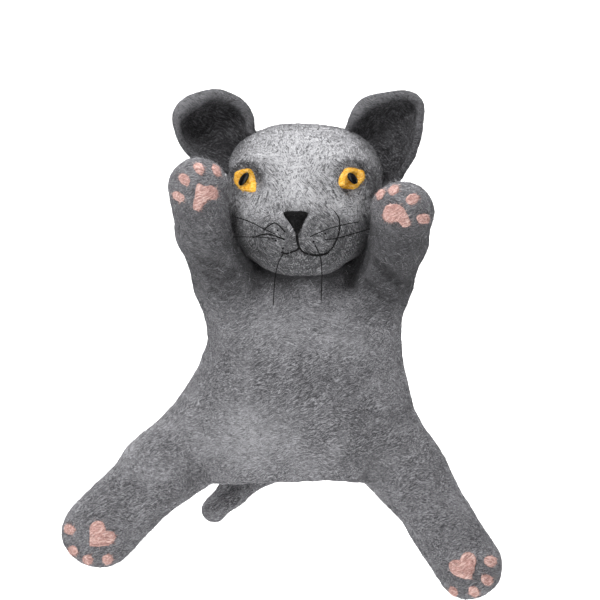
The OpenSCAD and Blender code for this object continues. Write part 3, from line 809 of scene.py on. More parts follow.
x, y, z = centres.T
regions = {name: past(centres, name) for name in BENDS}
for side, beside in (("left", x < -14), ("right", x > 33)):
    regions["arm_" + side] &= beside & (z > 80)
    regions["paw_" + side] &= regions["arm_" + side]
    regions["arm_" + side] &= ~regions["paw_" + side]
regions["leg_left"] &= (x < -38) & (z < 60) & (y < 33)
regions["leg_right"] &= (x > 36) & (z < 60)
near_tail = np.linalg.norm(centres - np.array([6, 38, 38]), axis=1) < 24
regions["tail"] &= (y > 33.2) & (near_tail | (z < 34)) & (x < 25) & (x > -70)
regions["neck"] &= np.hypot(x - 9, y + 3) < 22.5
regions["torso"] = ~np.any(list(regions.values()), axis=0)


def cut_piece(name, mask, material):
    """Own object for some faces of the whole skin, keeping the whole skin's shading at its edges."""
    used, index = np.unique(quads[mask], return_inverse=True)
    faces = index.reshape(-1, 4)
    obj = new_object(name, points[used], faces, material)
    # painted shade in the folds and under the chin, and painted light and shade over the hand
    store(obj.data, "crease_shade", body_shade[used])
    store(obj.data, "pale", light_and_shade_over_hand(points[used]))
    obj.data.normals_split_custom_set_from_vertices(vertex_normals[used].tolist())
    return obj


def all_normals(p, q):
    """Area-weighted normals at points shared by quads."""
    a = np.cross(p[q[:, 2]] - p[q[:, 0]], p[q[:, 3]] - p[q[:, 1]])
    n = np.zeros_like(p)
    for k in range(4):
        np.add.at(n, q[:, k], a)
    return n / np.maximum(np.linalg.norm(n, axis=1), 1e-9)[:, None]


vertex_normals = all_normals(points, quads)
# painted shade in the folds between parts, on the throat and on the upper arms
body_shade = np.clip(crease_shade(points, vertex_normals) + shade_under_chin(points), 0, 1)
STANDS_FOR = {
    "torso": ["torso_shell"], "neck": ["neck_sleeve"],
    "leg_left": ["leg_left", "leg_filling_left"], "leg_right": ["leg_right", "leg_filling_right"],
}
skins = {}
for name, mask in regions.items():
    skins[name] = cut_piece("skin_" + name, mask, m_body)
    dress(skins[name], STANDS_FOR.get(name, [name]), "torso", BENDS.get(name))

# ---------------------------------------------------------------- head, muzzle
hp, hq = head.mesh()
hp = felt_relief(hp, head.normal(hp, 1.2), 0.8)


def pale_wool_and_shade(p):
    """1 where the head's wool is palest, below 0 where it is darker than the rest, mostly from painted shade.
    """
    x, y, z = p[:, 0] - 6, p[:, 1], p[:, 2]
    facing = np.clip((-y - 2) / 26, 0, 1)
    pale = 1.05 * oval(x, z, (0, 196), (34, 17))  # brow
    pale = pale + 0.8 * oval(x, z, (0, 172), (15, 20))  # bridge of the nose
    pale = pale + 0.75 * oval(np.abs(x), z, (31, 169), (17, 11))  # cheeks
    pale = pale - 0.7 * oval(np.abs(x), z, (33, 184), (12, 9))  # painted shade in the eye sockets
    for cx, cz in ((-27, 182.5), (36.8, 183.4)):  # painted shade along the upper lids, under the brows
        ring = np.sqrt(((p[:, 0] - cx) / 8.4) ** 2 + ((z - cz) / 9) ** 2)
        pale = pale - 1.1 * np.exp(-(((ring - 1.12) / 0.2) ** 2)) * np.clip((z - cz) / 5 + 0.5, 0, 1)
    for ((cx, cz), (half_width, half_height)), strength in zip(MUZZLES.values(), (0.24, 0.4)):
        # painted shade in the groove around each muzzle pad
        ring = np.sqrt(((p[:, 0] - cx) / half_width) ** 2 + ((z - cz) / half_height) ** 2)
        pale = pale - strength * np.exp(-(((ring - 1.03) / 0.09) ** 2))
    pale = pale - 0.6 * oval(x, z, (-2, 166.5), (15, 4))  # above the nose
    pale = pale - np.interp(z, [128, 138, 148, 154, 162], [1.1, 1.0, 0.7, 0.4, 0])  # painted shade on the jaw and under the chin
    return np.clip(pale, -1, 1) * facing


head_skin = new_object("skin_head", hp, hq, m_head)
# painted shade in the folds of the head, strongest on the jaw and faint on the upper face
head_shade_share = np.interp(hp[:, 2], [140, 156, 166], [0.9, 0.6, 0.12])
store(head_skin.data, "crease_shade", crease_shade(hp, all_normals(hp, hq)) * head_shade_share)
# pale wool of the face, and painted shade on the jaw, eye sockets, upper lids and pad grooves
store(head_skin.data, "pale", pale_wool_and_shade(hp))
dress(head_skin, ["head_felt", "head_core", "finger_sleeve"], "head")
muzzles = {}
for name, f in muzzle_fields.items():
    mp, mq = f.mesh()
    mp = felt_relief(mp, f.normal(mp, 0.8), 0.5)
    obj = new_object("skin_" + name, mp, mq, m_head)
    store(obj.data, "pale", np.full(len(mp), -0.45))
    muzzles[name] = (dress(obj, [name], "head"), mq, f)


# ---------------------------------------------------------------- ears
# outline and middle in front view, Y of the rim, depth of the cup,
# middle and radius of the rim's thick stretch, slope across X
EARS = {
    "ear_left": {
        "outline": [(-22, 212), (-23.5, 221), (-28, 228.5), (-34, 233), (-43, 236), (-51, 235),
                    (-56, 232.6), (-62, 230), (-68, 225), (-70.2, 217), (-68.6, 209), (-64, 201),
                    (-56, 195), (-46, 190), (-34, 187), (-22, 194), (-16, 204)],
        "centre": (-44, 214), "rim_y": -7, "deep": 14, "lobe": (-61, 227, 5.0), "lean": 0.1,
    },
    "ear_right": {
        "outline": [(33, 210), (36, 219), (41, 226), (48, 231.5), (58, 234.5), (68, 236.5),
                    (76, 234.4), (80.2, 229), (80, 219), (78.6, 208), (75, 197), (69, 187),
                    (62, 178.5), (48, 180), (36, 198)],
        "centre": (58, 212), "rim_y": -6, "deep": 13, "lobe": (45, 228, 4.2), "lean": -0.1,
    },
}


def outline_distance(poly, x, z):
    """Signed distance from a closed outline, negative inside, on a grid."""
    best = np.full(np.broadcast(x, z).shape, 1e9)
    inside = np.zeros(best.shape, bool)
    for a, b in zip(poly, np.roll(poly, -1, axis=0)):
        e = b - a
        t = np.clip(((x - a[0]) * e[0] + (z - a[1]) * e[1]) / (e @ e), 0, 1)
        best = np.minimum(best, (x - a[0] - e[0] * t) ** 2 + (z - a[1] - e[1] * t) ** 2)
        rise = e[1] if abs(e[1]) > 1e-9 else 1e-9
        inside ^= ((a[1] > z) != (b[1] > z)) & (x < a[0] + (z - a[1]) * e[0] / rise)
    return np.where(inside, -1, 1) * np.sqrt(best)


EAR_SHEET = 2.2  # half of the felt's thickness


def ear_rim(spec, point):
    """Depth and radius of the rolled rim at a point [X, Z] of it."""
    x, z = point
    cx, cz = spec["centre"]
    lobe_x, lobe_z, thick = spec["lobe"]
    near = math.exp(-(((x - lobe_x) / 13) ** 2 + ((z - lobe_z) / 9) ** 2))
    top = min(1, max(0, (z - cz) / 20))
    inward = min(1, max(0, (cx + 8 - x) / 26))
    depth = spec["rim_y"] + spec["lean"] * (x - cx) - 2.6 * near
    return depth, 1.8 + 0.5 * top + 1.1 * inward * top + (thick - 3.1) * near


def ear_field(spec):
    """Cupped sheet of felt with a rolled rim."""
    rim = closed_curve(spec["outline"], 3)
    low, high = rim.min(0), rim.max(0)
    f = Field((low[0] - 9, -26, low[1] - 9), (high[0] + 9, 24, high[1] + 9), 0.7)
    whole, x, y, z = f.everywhere()
    centre = np.array(spec["centre"])
    inner = closed_curve([centre + (np.array(p) - centre) * 0.93 for p in spec["outline"]], 3)
    flat = outline_distance(inner, x[:, 0, :], z[0])[:, None, :]
    cup = spec["deep"] * (1 - (1 - np.clip(-flat / 17, 0, 1)) ** 2.4)
    bowl = spec["rim_y"] + cup + spec["lean"] * (x - spec["centre"][0])
    f.d[whole] = np.maximum((np.abs(y - bowl) - EAR_SHEET) * 0.75, flat)
    for a, b in zip(inner, np.roll(inner, -1, axis=0)):
        (ya, ra), (yb, rb) = ear_rim(spec, a), ear_rim(spec, b)
        a, b = (a[0], ya, a[1]), (b[0], yb, b[1])
        f.join(capsule(a, b, ra, rb), *around(a, b, margin=9), 2.2)
    return f


def ear_tone(spec, p, n):
    """Lighter along the rim, most of all at the top and to the left, and paler wool on the back."""
    edge = np.abs(outline_distance(closed_curve(spec["outline"], 3), p[:, 0], p[:, 2]))
    left_part = np.clip((spec["centre"][0] + 6 - p[:, 0]) / 26, 0, 1)
    tone = np.clip(1.15 - edge / 7, 0, 1) * np.clip((p[:, 2] - 200) / 26, 0.15, 1) * (0.45 + 0.55 * left_part)
    return np.where(n[:, 1] > 0.25, 0.85, tone)


ears = {}
for name, spec in EARS.items():
    f = ear_field(spec)
    ep, eq = f.mesh()
    en = f.normal(ep, 0.9)
    ep = felt_relief(ep, en, 0.75)
    obj = new_object("skin_" + name, ep, eq, m_ear)
    store(obj.data, "pale", ear_tone(spec, ep, en))
    ears[name] = (dress(obj, [name], "head"), ep, eq, f)


# ---------------------------------------------------------------- draped pads
def draped(name, field, outline, height, material, node_name, seed, rounds=14, bend=None, depth=1.2):
    """Closed pad laid on a surface: outline is points on the surface, height its middle thickness."""
    outline = np.array(outline, float)
    centre = outline.mean(0)
    sides = len(outline)
    shares = np.linspace(0.08, 1, rounds)

    def ring(share, rise):
        return field.project(centre + (outline - centre) * share, rise)

    rings = [ring(f, height * (1 - f**4) ** 0.5 + 0.05) for f in shares]
    rings.append(ring(1.01, -0.5 * depth))
    rings += [ring(f * 0.97, -depth) for f in shares[::-3]]
    p = np.vstack(rings)
    q = np.array(ring_faces(len(rings), sides))
    n = all_normals(p, q)
    top = slice(0, sides * rounds)
    faces = [tuple(f) for f in q] + ring_caps(len(rings), sides)
    if (n[top] * field.normal(p[top])).sum() < 0:
        faces = [f[::-1] for f in faces]
        q = q[:, ::-1]
        n = -n
    p[top] = p[top] + n[top] * (0.16 * noise(p[top], 2.4, seed) + 0.1 * noise(p[top], 1.1, seed + 1))[:, None]
    obj = new_object(name, p, faces, material)
    dress(obj, [node_name], "head", bend)
    return obj, p, q[: sides * (rounds - 1)]


def surface_frame(field, x, z, angle):
    """Point on the front of a surface, with along (angle from up) and across directions in it."""
    p = field.front(np.array([x]), np.array([z]))
    n = field.normal(p, 2.0)[0]
    along = np.array([math.sin(angle), 0, math.cos(angle)])
    along = along - n * (along @ n)
    along /= np.linalg.norm(along)
    return p[0], along, np.cross(n, along) * -1


def wobble(a, seed, amount):
    """Uneven factor around 1 for a hand-laid round outline."""
    waves = np.sin(2 * a + seed) + 0.7 * np.sin(3 * a + 2.3 * seed) + 0.5 * np.sin(5 * a + 3.1 * seed)
    return 1 + amount * waves


def heart_shape(a):
    """Unit heart, point at +along: across and along."""
    x = np.sin(a) ** 3
    y = (13 * np.cos(a) - 5 * np.cos(2 * a) - 2 * np.cos(3 * a) - np.cos(4 * a)) / 16
    return 0.72 * x + 0.28 * np.sin(a), -(0.72 * y + 0.28 * np.cos(a) * 0.9)


def round_pad(x, z, turn, shape, sides, seed, amount):
    """Outline on the body about (x, z), turned by an angle from up; shape gives across and along."""
    middle, along, across = surface_frame(body, x, z, turn)
    a = np.arange(sides) * 2 * math.pi / sides
    w = wobble(a, seed, amount)
    u, v = shape(a)
    return middle + np.outer(u * w, across) + np.outer(v * w, along)


# outline of each palm pad about its middle, X and Z
PALMS = {
    "paw_left": [(-4.4, 7.4), (0, 5.8), (4, 6.2), (7.4, 2.6), (6.2, -1.6),
                 (1.8, -2.2), (-0.8, -5.6), (-4, -8.8), (-7, -7.2), (-6, 0)],
    "paw_right": [(-7.8, 1.4), (-5.8, 6.4), (-0.6, 7.4), (4, 5.2), (7.4, -0.6),
                  (8.2, -5), (4.6, -6.2), (1.2, -3), (-3.2, -3.4), (-7, -2)],
}
# middle of the large pad, angle of a heart's point from up, middles of the toe pads
PADS = {
    "paw_left": ((-50.4, 172.2), None, [(-66, 171.8), (-62.4, 181.8), (-54, 188.2), (-44, 187.2)]),
    "paw_right": ((63, 159.8), None, [(54, 173.2), (61.6, 175.6), (72.6, 170.2), (79.2, 158.6)]),
    "foot_left": ((-114.3, -31.8), -136,
                  [(-133.8, -28.6), (-131.6, -41.5), (-122.6, -46.8), (-110.6, -46.6)]),
    "foot_right": ((104.7, -50.4), 150, [(121.4, -47.6), (119.4, -59.2), (111.4, -66.4), (99, -66.4)]),
}
PAD_FUZZ, TOE_FUZZ = (120, 60, 70), (40, 20, 30)  # matted strands, lying hairs, stray hairs
HEART_SIZE = 9.3
TOE_HALF_WIDTH, TOE_HALF_LENGTH = 3.2, 4.7


def foot_heart(a):
    u, v = heart_shape(a)
    return u * HEART_SIZE, v * HEART_SIZE


def toe_shape(a):
    return np.sin(a) * TOE_HALF_WIDTH, np.cos(a) * TOE_HALF_LENGTH


pads = []
for seed, (limb, ((x, z), turn, toes)) in enumerate(PADS.items()):
    bend = BENDS[limb.replace("foot", "leg")]
    if turn is None:
        curve = closed_curve(PALMS[limb], 7)
        outline = body.front(x + curve[:, 0], z + curve[:, 1])
    else:
        outline = round_pad(x, z, math.radians(turn), foot_heart, 72, seed, 0.03)
    name, node_name = limb + "_heart", limb + "_pad"
    palm = draped(name, body, outline, 1.5, m_pink, node_name, 20 + seed, bend=bend)
    pads.append((palm, bend, PAD_FUZZ))
    for k, (tx, tz) in enumerate(toes):
        outline = round_pad(tx, tz, math.atan2(tx - x, tz - z), toe_shape, 48, seed * 4 + k, 0.05)
        name = "%s_toe_%d" % (limb, k + 1)
        toe = draped(name, body, outline, 1.3, m_pink, name, 40 + k, rounds=10, bend=bend)
        pads.append((toe, bend, TOE_FUZZ))


# ---------------------------------------------------------------- face pieces
def rounded_outline(corners, share, steps=12):
    """Outline whose corners are rounded over a share of each side."""
    c = np.array(corners, float)
    out = []
    for i in range(len(c)):
        a, b, d = c[i - 1], c[i], c[(i + 1) % len(c)]
        start, stop = b + (a - b) * share, b + (d - b) * share
        for t in np.linspace(0, 1, steps, endpoint=False):
            out.append((1 - t) ** 2 * start + 2 * t * (1 - t) * b + t**2 * stop)
    return np.array(out)


EYES = {
    "eye_left": [(-33.8, 188), (-23.6, 190.4), (-20.4, 184), (-19.6, 174.2), (-29.4, 175.8), (-33.2, 181)],
    "eye_right": [(33, 190.4), (28.8, 183.6), (29.4, 177.6), (39.4, 176.6), (45.6, 183.8), (44.2, 189)],
}
NOSE = [(-4.4, 162.4), (-1.6, 163.6), (8.6, 163.2), (11.4, 162.2), (7.8, 156), (4.2, 148.8), (1, 154)]
eye_felts = []
for name, corners in EYES.items():
    x, z = rounded_outline(corners, 0.3, 10).T
    eye_felts.append(draped(name + "_felt", head, head.front(x, z), 1.5, m_yellow, name, 60))
x, z = rounded_outline(NOSE, 0.34).T
nose_felt = draped("nose_felt", face, face.front(x, z), 2.6, m_black, "nose", 64, depth=2.0)

# middle X, Z, half width, lean and height above the felt of each bead
BEADS = {"left": (-27, 183.8, 2.25, 36, 2.3), "right": (36.2, 184.8, 2.4, -42, 3.0)}
BEAD_HALF_LENGTH = 5.0
BEAD_HALF_DEPTH = 1.5


def bead(side, x, z, half_width, lean, height):
    """Oval bead that rests across its eye."""
    lean = math.radians(lean)
    dx, dz = BEAD_HALF_LENGTH * math.sin(lean), BEAD_HALF_LENGTH * math.cos(lean)
    ends = head.front(np.array([x + dx, x - dx]), np.array([z + dz, z - dz]))
    middle = head.front(np.array([x]), np.array([z]))
    along = (ends[0] - ends[1]) / np.linalg.norm(ends[0] - ends[1])
    n = head.normal(middle, 4.0)[0]
    n = n - along * (n @ along)
    n /= np.linalg.norm(n)
    across = np.cross(n, along)
    c = ends.mean(0) + n * (max((middle[0] - ends.mean(0)) @ n, 0) + height)
    rings, sides = 20, 28
    a = np.arange(sides) * 2 * math.pi / sides
    points = []
    for i in range(rings):
        t = math.pi * (i + 0.5) / rings
        r = math.sin(t) ** 0.85
        wide, thick = np.cos(a) * half_width * r, np.sin(a) * BEAD_HALF_DEPTH * r
        middle = c + along * BEAD_HALF_LENGTH * math.cos(t)
        points.append(middle + np.outer(wide, across) + np.outer(thick, n))
    points = np.vstack(points)
    q = ring_faces(rings, sides)
    faces = q + ring_caps(rings, sides)
    if (all_normals(points, np.array(q)) * (points - c)).sum() < 0:
        faces = [f[::-1] for f in faces]
    obj = new_object("bead_" + side, points, faces, m_bead)
    dress(obj, ["pupil_bead_" + side], "head")


for side, sizes in BEADS.items():
    bead(side, *sizes)

# ---------------------------------------------------------------- threads
# stops [X, Z] and thread radius of each line of stitches
MOUTH = [
    ([(4.2, 149.5), (4.4, 146), (5.4, 141.8)], 0.8),
    ([(5.4, 141.8), (4, 140.4), (1, 139.2), (-2.6, 138.2), (-5, 139.2)], 0.75),
    ([(5.4, 142), (8.2, 139), (13, 137.4), (18, 137.2), (22.4, 138.4)], 0.7),
    ([(26.4, 163.6), (29.4, 158.2), (29, 150), (26.2, 143), (22.4, 138.4)], 0.45),
    ([(-15.8, 152), (-9, 156.2), (-2.8, 150.8)], 0.4),
    ([(-22, 147.8), (-13.4, 149.6), (-3.2, 146.4)], 0.4),
]
FRECKLES = [(-7.2, 151.8), (-8.4, 145.8), (-4.2, 141.3), (14.1, 145.2), (21, 150)]
# height above the felt and radius of each ring of a freckle
FRECKLE = ((-0.4, 0.35), (0.05, 0.7), (0.35, 0.55), (0.5, 0.2))


def joined(name, parts, material):
    """One object of several sets of points and faces."""
    points, faces = [], []
    for p, part_faces in parts:
        base = sum(len(x) for x in points)
        points.append(p)
        faces += [tuple(i + base for i in f) for f in part_faces]
    return new_object(name, np.vstack(points), faces, material)


def stitches(stops, radius):
    """Thread along the face, half sunk in the felt."""
    line = smooth_path([(x, 0, z) for x, z in stops], 10)
    path = face.front(line[:, 0], line[:, 2])
    path[:, 1] -= 0.4
    return tube(path, np.full(len(path), radius), 8)


def freckle(x, z):
    """Low dot of black wool."""
    c = face.front(np.array([x]), np.array([z]))[0]
    n = face.normal(c[None])[0]
    u = np.cross(n, [0, 0, 1.0])
    u /= np.linalg.norm(u)
    v = np.cross(n, u)
    sides = 12
    a = np.arange(sides) * 2 * math.pi / sides
    rings = [c + n * h + np.outer(np.cos(a) * r, u) + np.outer(np.sin(a) * r, v) for h, r in FRECKLE]
    faces = ring_faces(len(rings), sides) + ring_caps(len(rings), sides)
    return np.vstack(rings), [f[::-1] for f in faces]


mouth = joined("mouth_thread", [stitches(*line) for line in MOUTH], m_thread)
dress(mouth, ["mouth_stitch"], "head")
freckles = joined("freckles", [freckle(*place) for place in FRECKLES], m_black)
dress(freckles, (), "head")

for name, route in WHISKERS.items():
    path = smooth_path(route, 10)
    obj = new_object(name + "_thread", *tube(path, np.full(len(path), WHISKER_RADIUS), 8), m_thread)
    dress(obj, [name], "head")


# ---------------------------------------------------------------- loose wool fibres
SHARE = 1.0
HAIR_STOPS = 4
ROOT_DEPTH = 0.3


def fibre_mesh(name, paths, radius, tone, material):
    """One object of many closed three-sided hairs; paths is (count, steps, 3)."""
    n, k, _ = paths.shape
    t = np.gradient(paths, axis=1)
    t /= np.maximum(np.linalg.norm(t, axis=2), 1e-9)[..., None]
    ref = rng.normal(size=(n, 1, 3))
    u = np.cross(t, np.broadcast_to(ref, t.shape))
    u /= np.maximum(np.linalg.norm(u, axis=2), 1e-9)[..., None]
    v = np.cross(t, u)
    profile = radius[:, None] * np.array([0.75] + [1.0] * (k - 2) + [0.3])[None, :]
    ring_points = []
    for j in range(3):
        a = j * 2 * math.pi / 3
        ring_points.append(paths + profile[..., None] * (math.cos(a) * u + math.sin(a) * v))
    p = np.stack(ring_points, 2).reshape(n * k * 3, 3)
    first = (np.arange(n) * k * 3)[:, None, None]
    walls = (np.array(ring_faces(k, 3))[None] + first).reshape(-1, 4)
    caps = np.array([(2, 1, 0), ((k - 1) * 3, (k - 1) * 3 + 1, (k - 1) * 3 + 2)])
    caps = (caps[None] + first).reshape(-1, 3)
    mesh = bpy.data.meshes.new(name)
    mesh.vertices.add(len(p))
    mesh.vertices.foreach_set("co", (p * MM).astype(np.float32).ravel())
    loops = np.concatenate([walls.ravel(), caps.ravel()])
    starts = np.concatenate([np.arange(len(walls)) * 4, len(walls) * 4 + np.arange(len(caps)) * 3])
    mesh.loops.add(len(loops))
    mesh.loops.foreach_set("vertex_index", loops.astype(np.int32))
    mesh.polygons.add(len(starts))
    mesh.polygons.foreach_set("loop_start", starts.astype(np.int32))
    mesh.update(calc_edges=True)
    shade_smooth(mesh)
    keep_rest(mesh)
    store(mesh, "tone", np.repeat(tone, k * 3))
    return link(name, mesh, material)


def scatter(p, q, count, keep):
    """Random points and normals on quads, fewer where keep is low."""
    a = np.cross(p[q[:, 2]] - p[q[:, 0]], p[q[:, 3]] - p[q[:, 1]])
    area = np.linalg.norm(a, axis=1) / 2
    n = a / np.maximum(area * 2, 1e-9)[:, None]
    weight = area.copy()
    if keep is not None:
        weight *= keep(p[q].mean(1), n)
    pick = rng.choice(len(q), count, p=weight / weight.sum())
    u, v = rng.random((count, 1)), rng.random((count, 1))
    c = p[q[pick]]
    pos = (c[:, 0] * (1 - u) + c[:, 1] * u) * (1 - v) + (c[:, 3] * (1 - u) + c[:, 2] * u) * v
    return pos, n[pick]


def combed(pos, centre=None):
    """Way the wool was rubbed: outward from a centre, or in wandering patches."""
    if centre is not None:
        return (pos - np.array(centre)) / 26 + 0.5 * np.stack([noise(pos, 17, 70 + k) for k in range(3)], 1)
    return 1.1 * np.stack([noise(pos, 23, 80 + k) for k in range(3)], 1) + [1.2, 0.3, -0.1]


def lying(pos, n, length, lift, curl, up=0.25, way=0.0, stray=1.0):
    """Hairs that lie on the felt and curve, ending a little above it."""
    d = way + stray * rng.normal(size=pos.shape)
    d -= n * (d * n).sum(1)[:, None]
    d /= np.linalg.norm(d, axis=1)[:, None]
    spin = rng.normal(0, curl, (len(pos), 1))
    path = [pos - n * ROOT_DEPTH]
    here = pos + n * lift[:, None] * 0.2
    step = (length / (HAIR_STOPS - 1))[:, None]
    for i in range(1, HAIR_STOPS):
        d = d + np.cross(n, d) * spin
        d /= np.linalg.norm(d, axis=1)[:, None]
        here = here + d * step + n * (lift[:, None] * up * i)
        path.append(here)
    return np.stack(path, 1)


def hug(path, field, relief):
    """Presses the strands onto the felted surface of a field, their ends a little proud."""
    flat = field.project(path[:, 1:].reshape(-1, 3), 0.0, 2)
    n = field.normal(flat, field.step * 1.2)
    rise = np.tile(np.linspace(0.04, 0.2, path.shape[1] - 1), len(path))
    flat = felt_relief(flat, n, relief) + n * rise[:, None]
    return np.concatenate([path[:, :1], flat.reshape(len(path), -1, 3)], 1)


def standing(pos, n, length, bend):
    """Stray hairs that stand off the felt and bend over."""
    d = n + rng.normal(0, 0.55, pos.shape)
    d /= np.linalg.norm(d, axis=1)[:, None]
    sideways = rng.normal(0, bend, pos.shape)
    path = [pos - n * ROOT_DEPTH]
    here = pos
    for _ in range(1, HAIR_STOPS):
        d = d + sideways
        d /= np.linalg.norm(d, axis=1)[:, None]
        here = here + d * (length / (HAIR_STOPS - 1))[:, None]
        path.append(here)
    return np.stack(path, 1)


def gloom(pos, n, field):
    """How far painted shade darkens the hairs down in the folds, and on the throat and upper arms of the
    body.
    """
    shade = crease_shade(pos, n)
    if field is body:
        shade = shade + shade_under_chin(pos)
    return 0.6 * np.clip(shade, 0, 1)


def add_fuzz(name, p, q, material, counts, keep=None, tone_at=None, body_name="head", bend=None,
             length=5.0, thick=0.055, mat_thick=0.15, spread=0.3, comb=None, on=None):
    """Matted strands, lying hairs and stray hairs on one surface, in one object.

    tone_at gives each hair's middle tone and spread its scatter; on is the field and relief pressed against.
    """
    paths, radii, tones = [], [], []
    for kind, count in zip(("matted", "lying", "stray"), counts):
        count = int(count * SHARE)
        if not count:
            continue
        pos, n = scatter(p, q, count, keep)
        if kind == "matted":
            long, lift = rng.uniform(0.5, 1.5, count) * length, rng.uniform(0.02, 0.12, count)
            strands = lying(pos, n, long, lift, 0.22, up=0.1, way=combed(pos, comb), stray=0.42)
            paths.append(hug(strands, *on) if on else strands)
            radii.append(rng.uniform(0.5, 1.15, count) * mat_thick)
        elif kind == "lying":
            long, lift = rng.uniform(0.5, 1.5, count) * length * 1.2, rng.uniform(0.1, 0.5, count)
            paths.append(lying(pos, n, long, lift, 0.45))
            radii.append(rng.uniform(0.7, 1.3, count) * thick)
        else:
            paths.append(standing(pos, n, rng.uniform(0.35, 1.0, count) ** 1.4 * length * 0.8, 0.35))
            radii.append(rng.uniform(0.8, 1.5, count) * thick)
        middle = tone_at(pos, n) if tone_at else 0.5
        # painted shade on the hairs in the folds
        if on:
            middle = middle - gloom(pos, n, on[0])
        scattered = spread(pos) if callable(spread) else spread
        tones.append(np.clip(middle + rng.normal(0, 1, count) * scattered, 0, 1))
    obj = fibre_mesh(name, np.concatenate(paths), np.concatenate(radii), np.concatenate(tones), material)
    dress(obj, (), body_name, bend)


def body_hollow(c):
    """True for points on the inner walls of the hollow body."""
    z = c[:, 2]
    a = np.interp(z, TORSO[:, 0], TORSO[:, 2]) - WALL * 0.5
    b = np.interp(z, TORSO[:, 0], TORSO[:, 3]) - WALL * 0.5
    x = c[:, 0] - np.interp(z, TORSO[:, 0], TORSO[:, 1])
    inside = np.abs(x / a) ** TORSO_SQUARENESS + np.abs(c[:, 1] / b) ** TORSO_SQUARENESS < 1
    return inside & (z > -2) & (z < 128)


def outside_only(c, n):
    return np.where(body_hollow(c), 0.02, 1.0)


def on_head(c, n):
    return np.where((c[:, 2] < 138) | (n[:, 2] < -0.8) | (c[:, 1] > 30), 0.25, 1.0)


def facing_front(c, n):
    return np.where(n[:, 1] < -0.1, 1.0, 0.0)


def halves(name, counts):
    """Two names and two shares of the hairs, so that no one object holds too many."""
    return [(name + "_" + half, [c // 2 for c in counts]) for half in "ab"]


# matted strands, lying hairs, stray hairs
FUZZ = {
    "torso": (10500, 900, 3000), "arm_left": (3600, 300, 1300), "arm_right": (3600, 300, 1300),
    "paw_left": (3000, 300, 1800), "paw_right": (3000, 300, 1800), "leg_left": (5200, 500, 2600),
    "leg_right": (5200, 500, 2600), "tail": (2400, 200, 1100), "neck": (500, 50, 100),
}
HEAD_FUZZ, EAR_FUZZ, MUZZLE_FUZZ = (12500, 700, 4200), (3000, 300, 2600), (1100, 60, 120)
PATCH_FUZZ = (90, 60, 30)

# body hairs take the painted light and shade over the hand
for name, counts in FUZZ.items():
    for part, some in halves("fuzz_" + name, counts) if name == "torso" else [("fuzz_" + name, counts)]:
        add_fuzz(part, points, quads[regions[name]], m_fibre["grey"], some,
                 keep=outside_only if name in ("torso", "neck") else None,
                 tone_at=lambda c, n: 0.5 + 0.3 * light_and_shade_over_hand(c), body_name="torso", bend=BENDS.get(name),
                 length=4.4, mat_thick=0.085, spread=0.4, on=(body, 1.0))
# head hairs take the pale wool and painted shade of the face
for part, some in halves("fuzz_head", HEAD_FUZZ):
    add_fuzz(part, hp, hq, m_fibre["pale"], some, keep=on_head,
             tone_at=lambda c, n: 0.26 + 0.36 * pale_wool_and_shade(c), length=3.6, mat_thick=0.11,
             spread=lambda c: 0.16 + 0.24 * np.clip(-c[:, 1] / 18, 0, 1), comb=(6, -30, 176), on=(head, 0.8))
for name, (obj, q, f) in muzzles.items():
    p = np.array([v.co for v in obj.data.vertices]) / MM
    add_fuzz("fuzz_" + name, p, q, m_fibre["pale"], MUZZLE_FUZZ, keep=facing_front,
             tone_at=lambda c, n: np.full(len(c), 0.24), length=3.2, mat_thick=0.09, spread=0.2, on=(f, 0.5))
for name, (obj, p, q, f) in ears.items():
    rim = closed_curve(EARS[name]["outline"], 3)

    def ear_hair_tone(c, n):
        edge = np.abs(outline_distance(rim, c[:, 0], c[:, 2]))
        return np.where(n[:, 1] > 0.25, 0.6, np.clip(0.75 - edge / 9, 0.1, 0.62))

    add_fuzz("fuzz_" + name, p, q, m_fibre["dark"], EAR_FUZZ, tone_at=ear_hair_tone,
             length=4.2, mat_thick=0.1, spread=0.14, on=(f, 0.75))
for (obj, p, q), bend, counts in pads:
    add_fuzz("fuzz_" + obj.name, p, q, m_fibre["pink"], counts,
             bend=bend, length=2.6, thick=0.05, mat_thick=0.11)
for (obj, p, q), colour in zip(eye_felts + [nose_felt], ("yellow", "yellow", "black")):
    add_fuzz("fuzz_" + obj.name, p, q, m_fibre[colour], PATCH_FUZZ,
             length=2.4, thick=0.05, mat_thick=0.11)


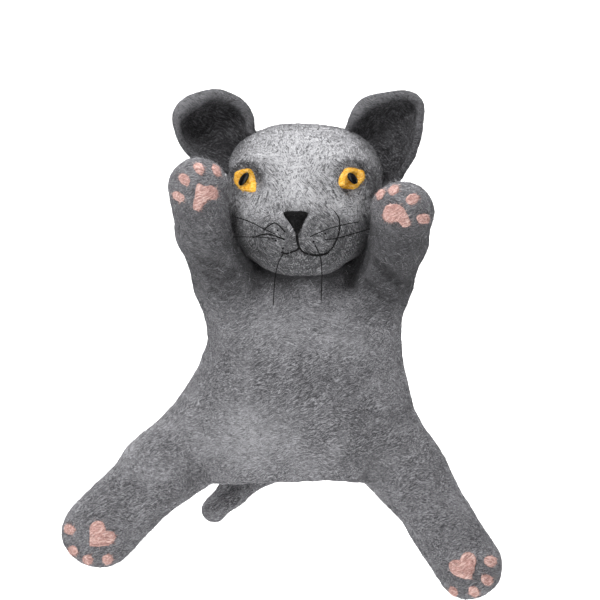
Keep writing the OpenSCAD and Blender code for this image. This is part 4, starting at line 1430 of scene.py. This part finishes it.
# ---------------------------------------------------------------- room and light
world = bpy.data.worlds.new("world")
bpy.context.scene.world = world
world.use_nodes = True
world.node_tree.nodes["Background"].inputs["Color"].default_value = (1, 1, 1, 1)
world.node_tree.nodes["Background"].inputs["Strength"].default_value = 0.34
bpy.context.scene.view_settings.view_transform = "Standard"

FLOOR_Z = -0.32
FLOOR_FRONT, FLOOR_BACK, FLOOR_HALF_WIDTH = -6.0, 1.4, 6
BACKDROP_BEND, BACKDROP_TOP = 0.9, 5.0


def backdrop():
    """Floor that curves up into a wall behind the puppet."""
    profile = [(FLOOR_FRONT, FLOOR_Z), (FLOOR_BACK, FLOOR_Z)]
    for a in np.linspace(0.1, math.pi / 2, 14):
        y, z = FLOOR_BACK + BACKDROP_BEND * math.sin(a), FLOOR_Z + BACKDROP_BEND * (1 - math.cos(a))
        profile.append((y, z))
    profile.append((FLOOR_BACK + BACKDROP_BEND, BACKDROP_TOP))
    mesh = bpy.data.meshes.new("floor")
    corners = [(x, y, z) for y, z in profile for x in (-FLOOR_HALF_WIDTH, FLOOR_HALF_WIDTH)]
    strips = [(2 * i, 2 * i + 1, 2 * i + 3, 2 * i + 2) for i in range(len(profile) - 1)]
    mesh.from_pydata(corners, [], strips)
    shade_smooth(mesh)
    paper = Shader("floor", 0.9)
    paper.inputs["Base Color"].default_value = (0.93, 0.93, 0.93, 1)
    return link("floor", mesh, paper.material)


backdrop()


def area_light(name, location, target, size, power):
    data = bpy.data.lights.new(name, "AREA")
    data.shape = "DISK"
    data.size = size
    data.energy = power
    obj = bpy.data.objects.new(name, data)
    bpy.context.scene.collection.objects.link(obj)
    obj.location = location
    obj.rotation_euler = (Vector(target) - Vector(location)).to_track_quat("-Z", "Y").to_euler()


area_light("key", (-0.5, -1.3, 1.5), (0, 0, 0.1), 0.6, 40)
area_light("fill", (0.3, -2.2, 0.5), (0, 0, 0.1), 1.0, 7)
area_light("back", (0.0, 0.9, 2.2), (0, 2.0, 0.3), 2.2, 130)
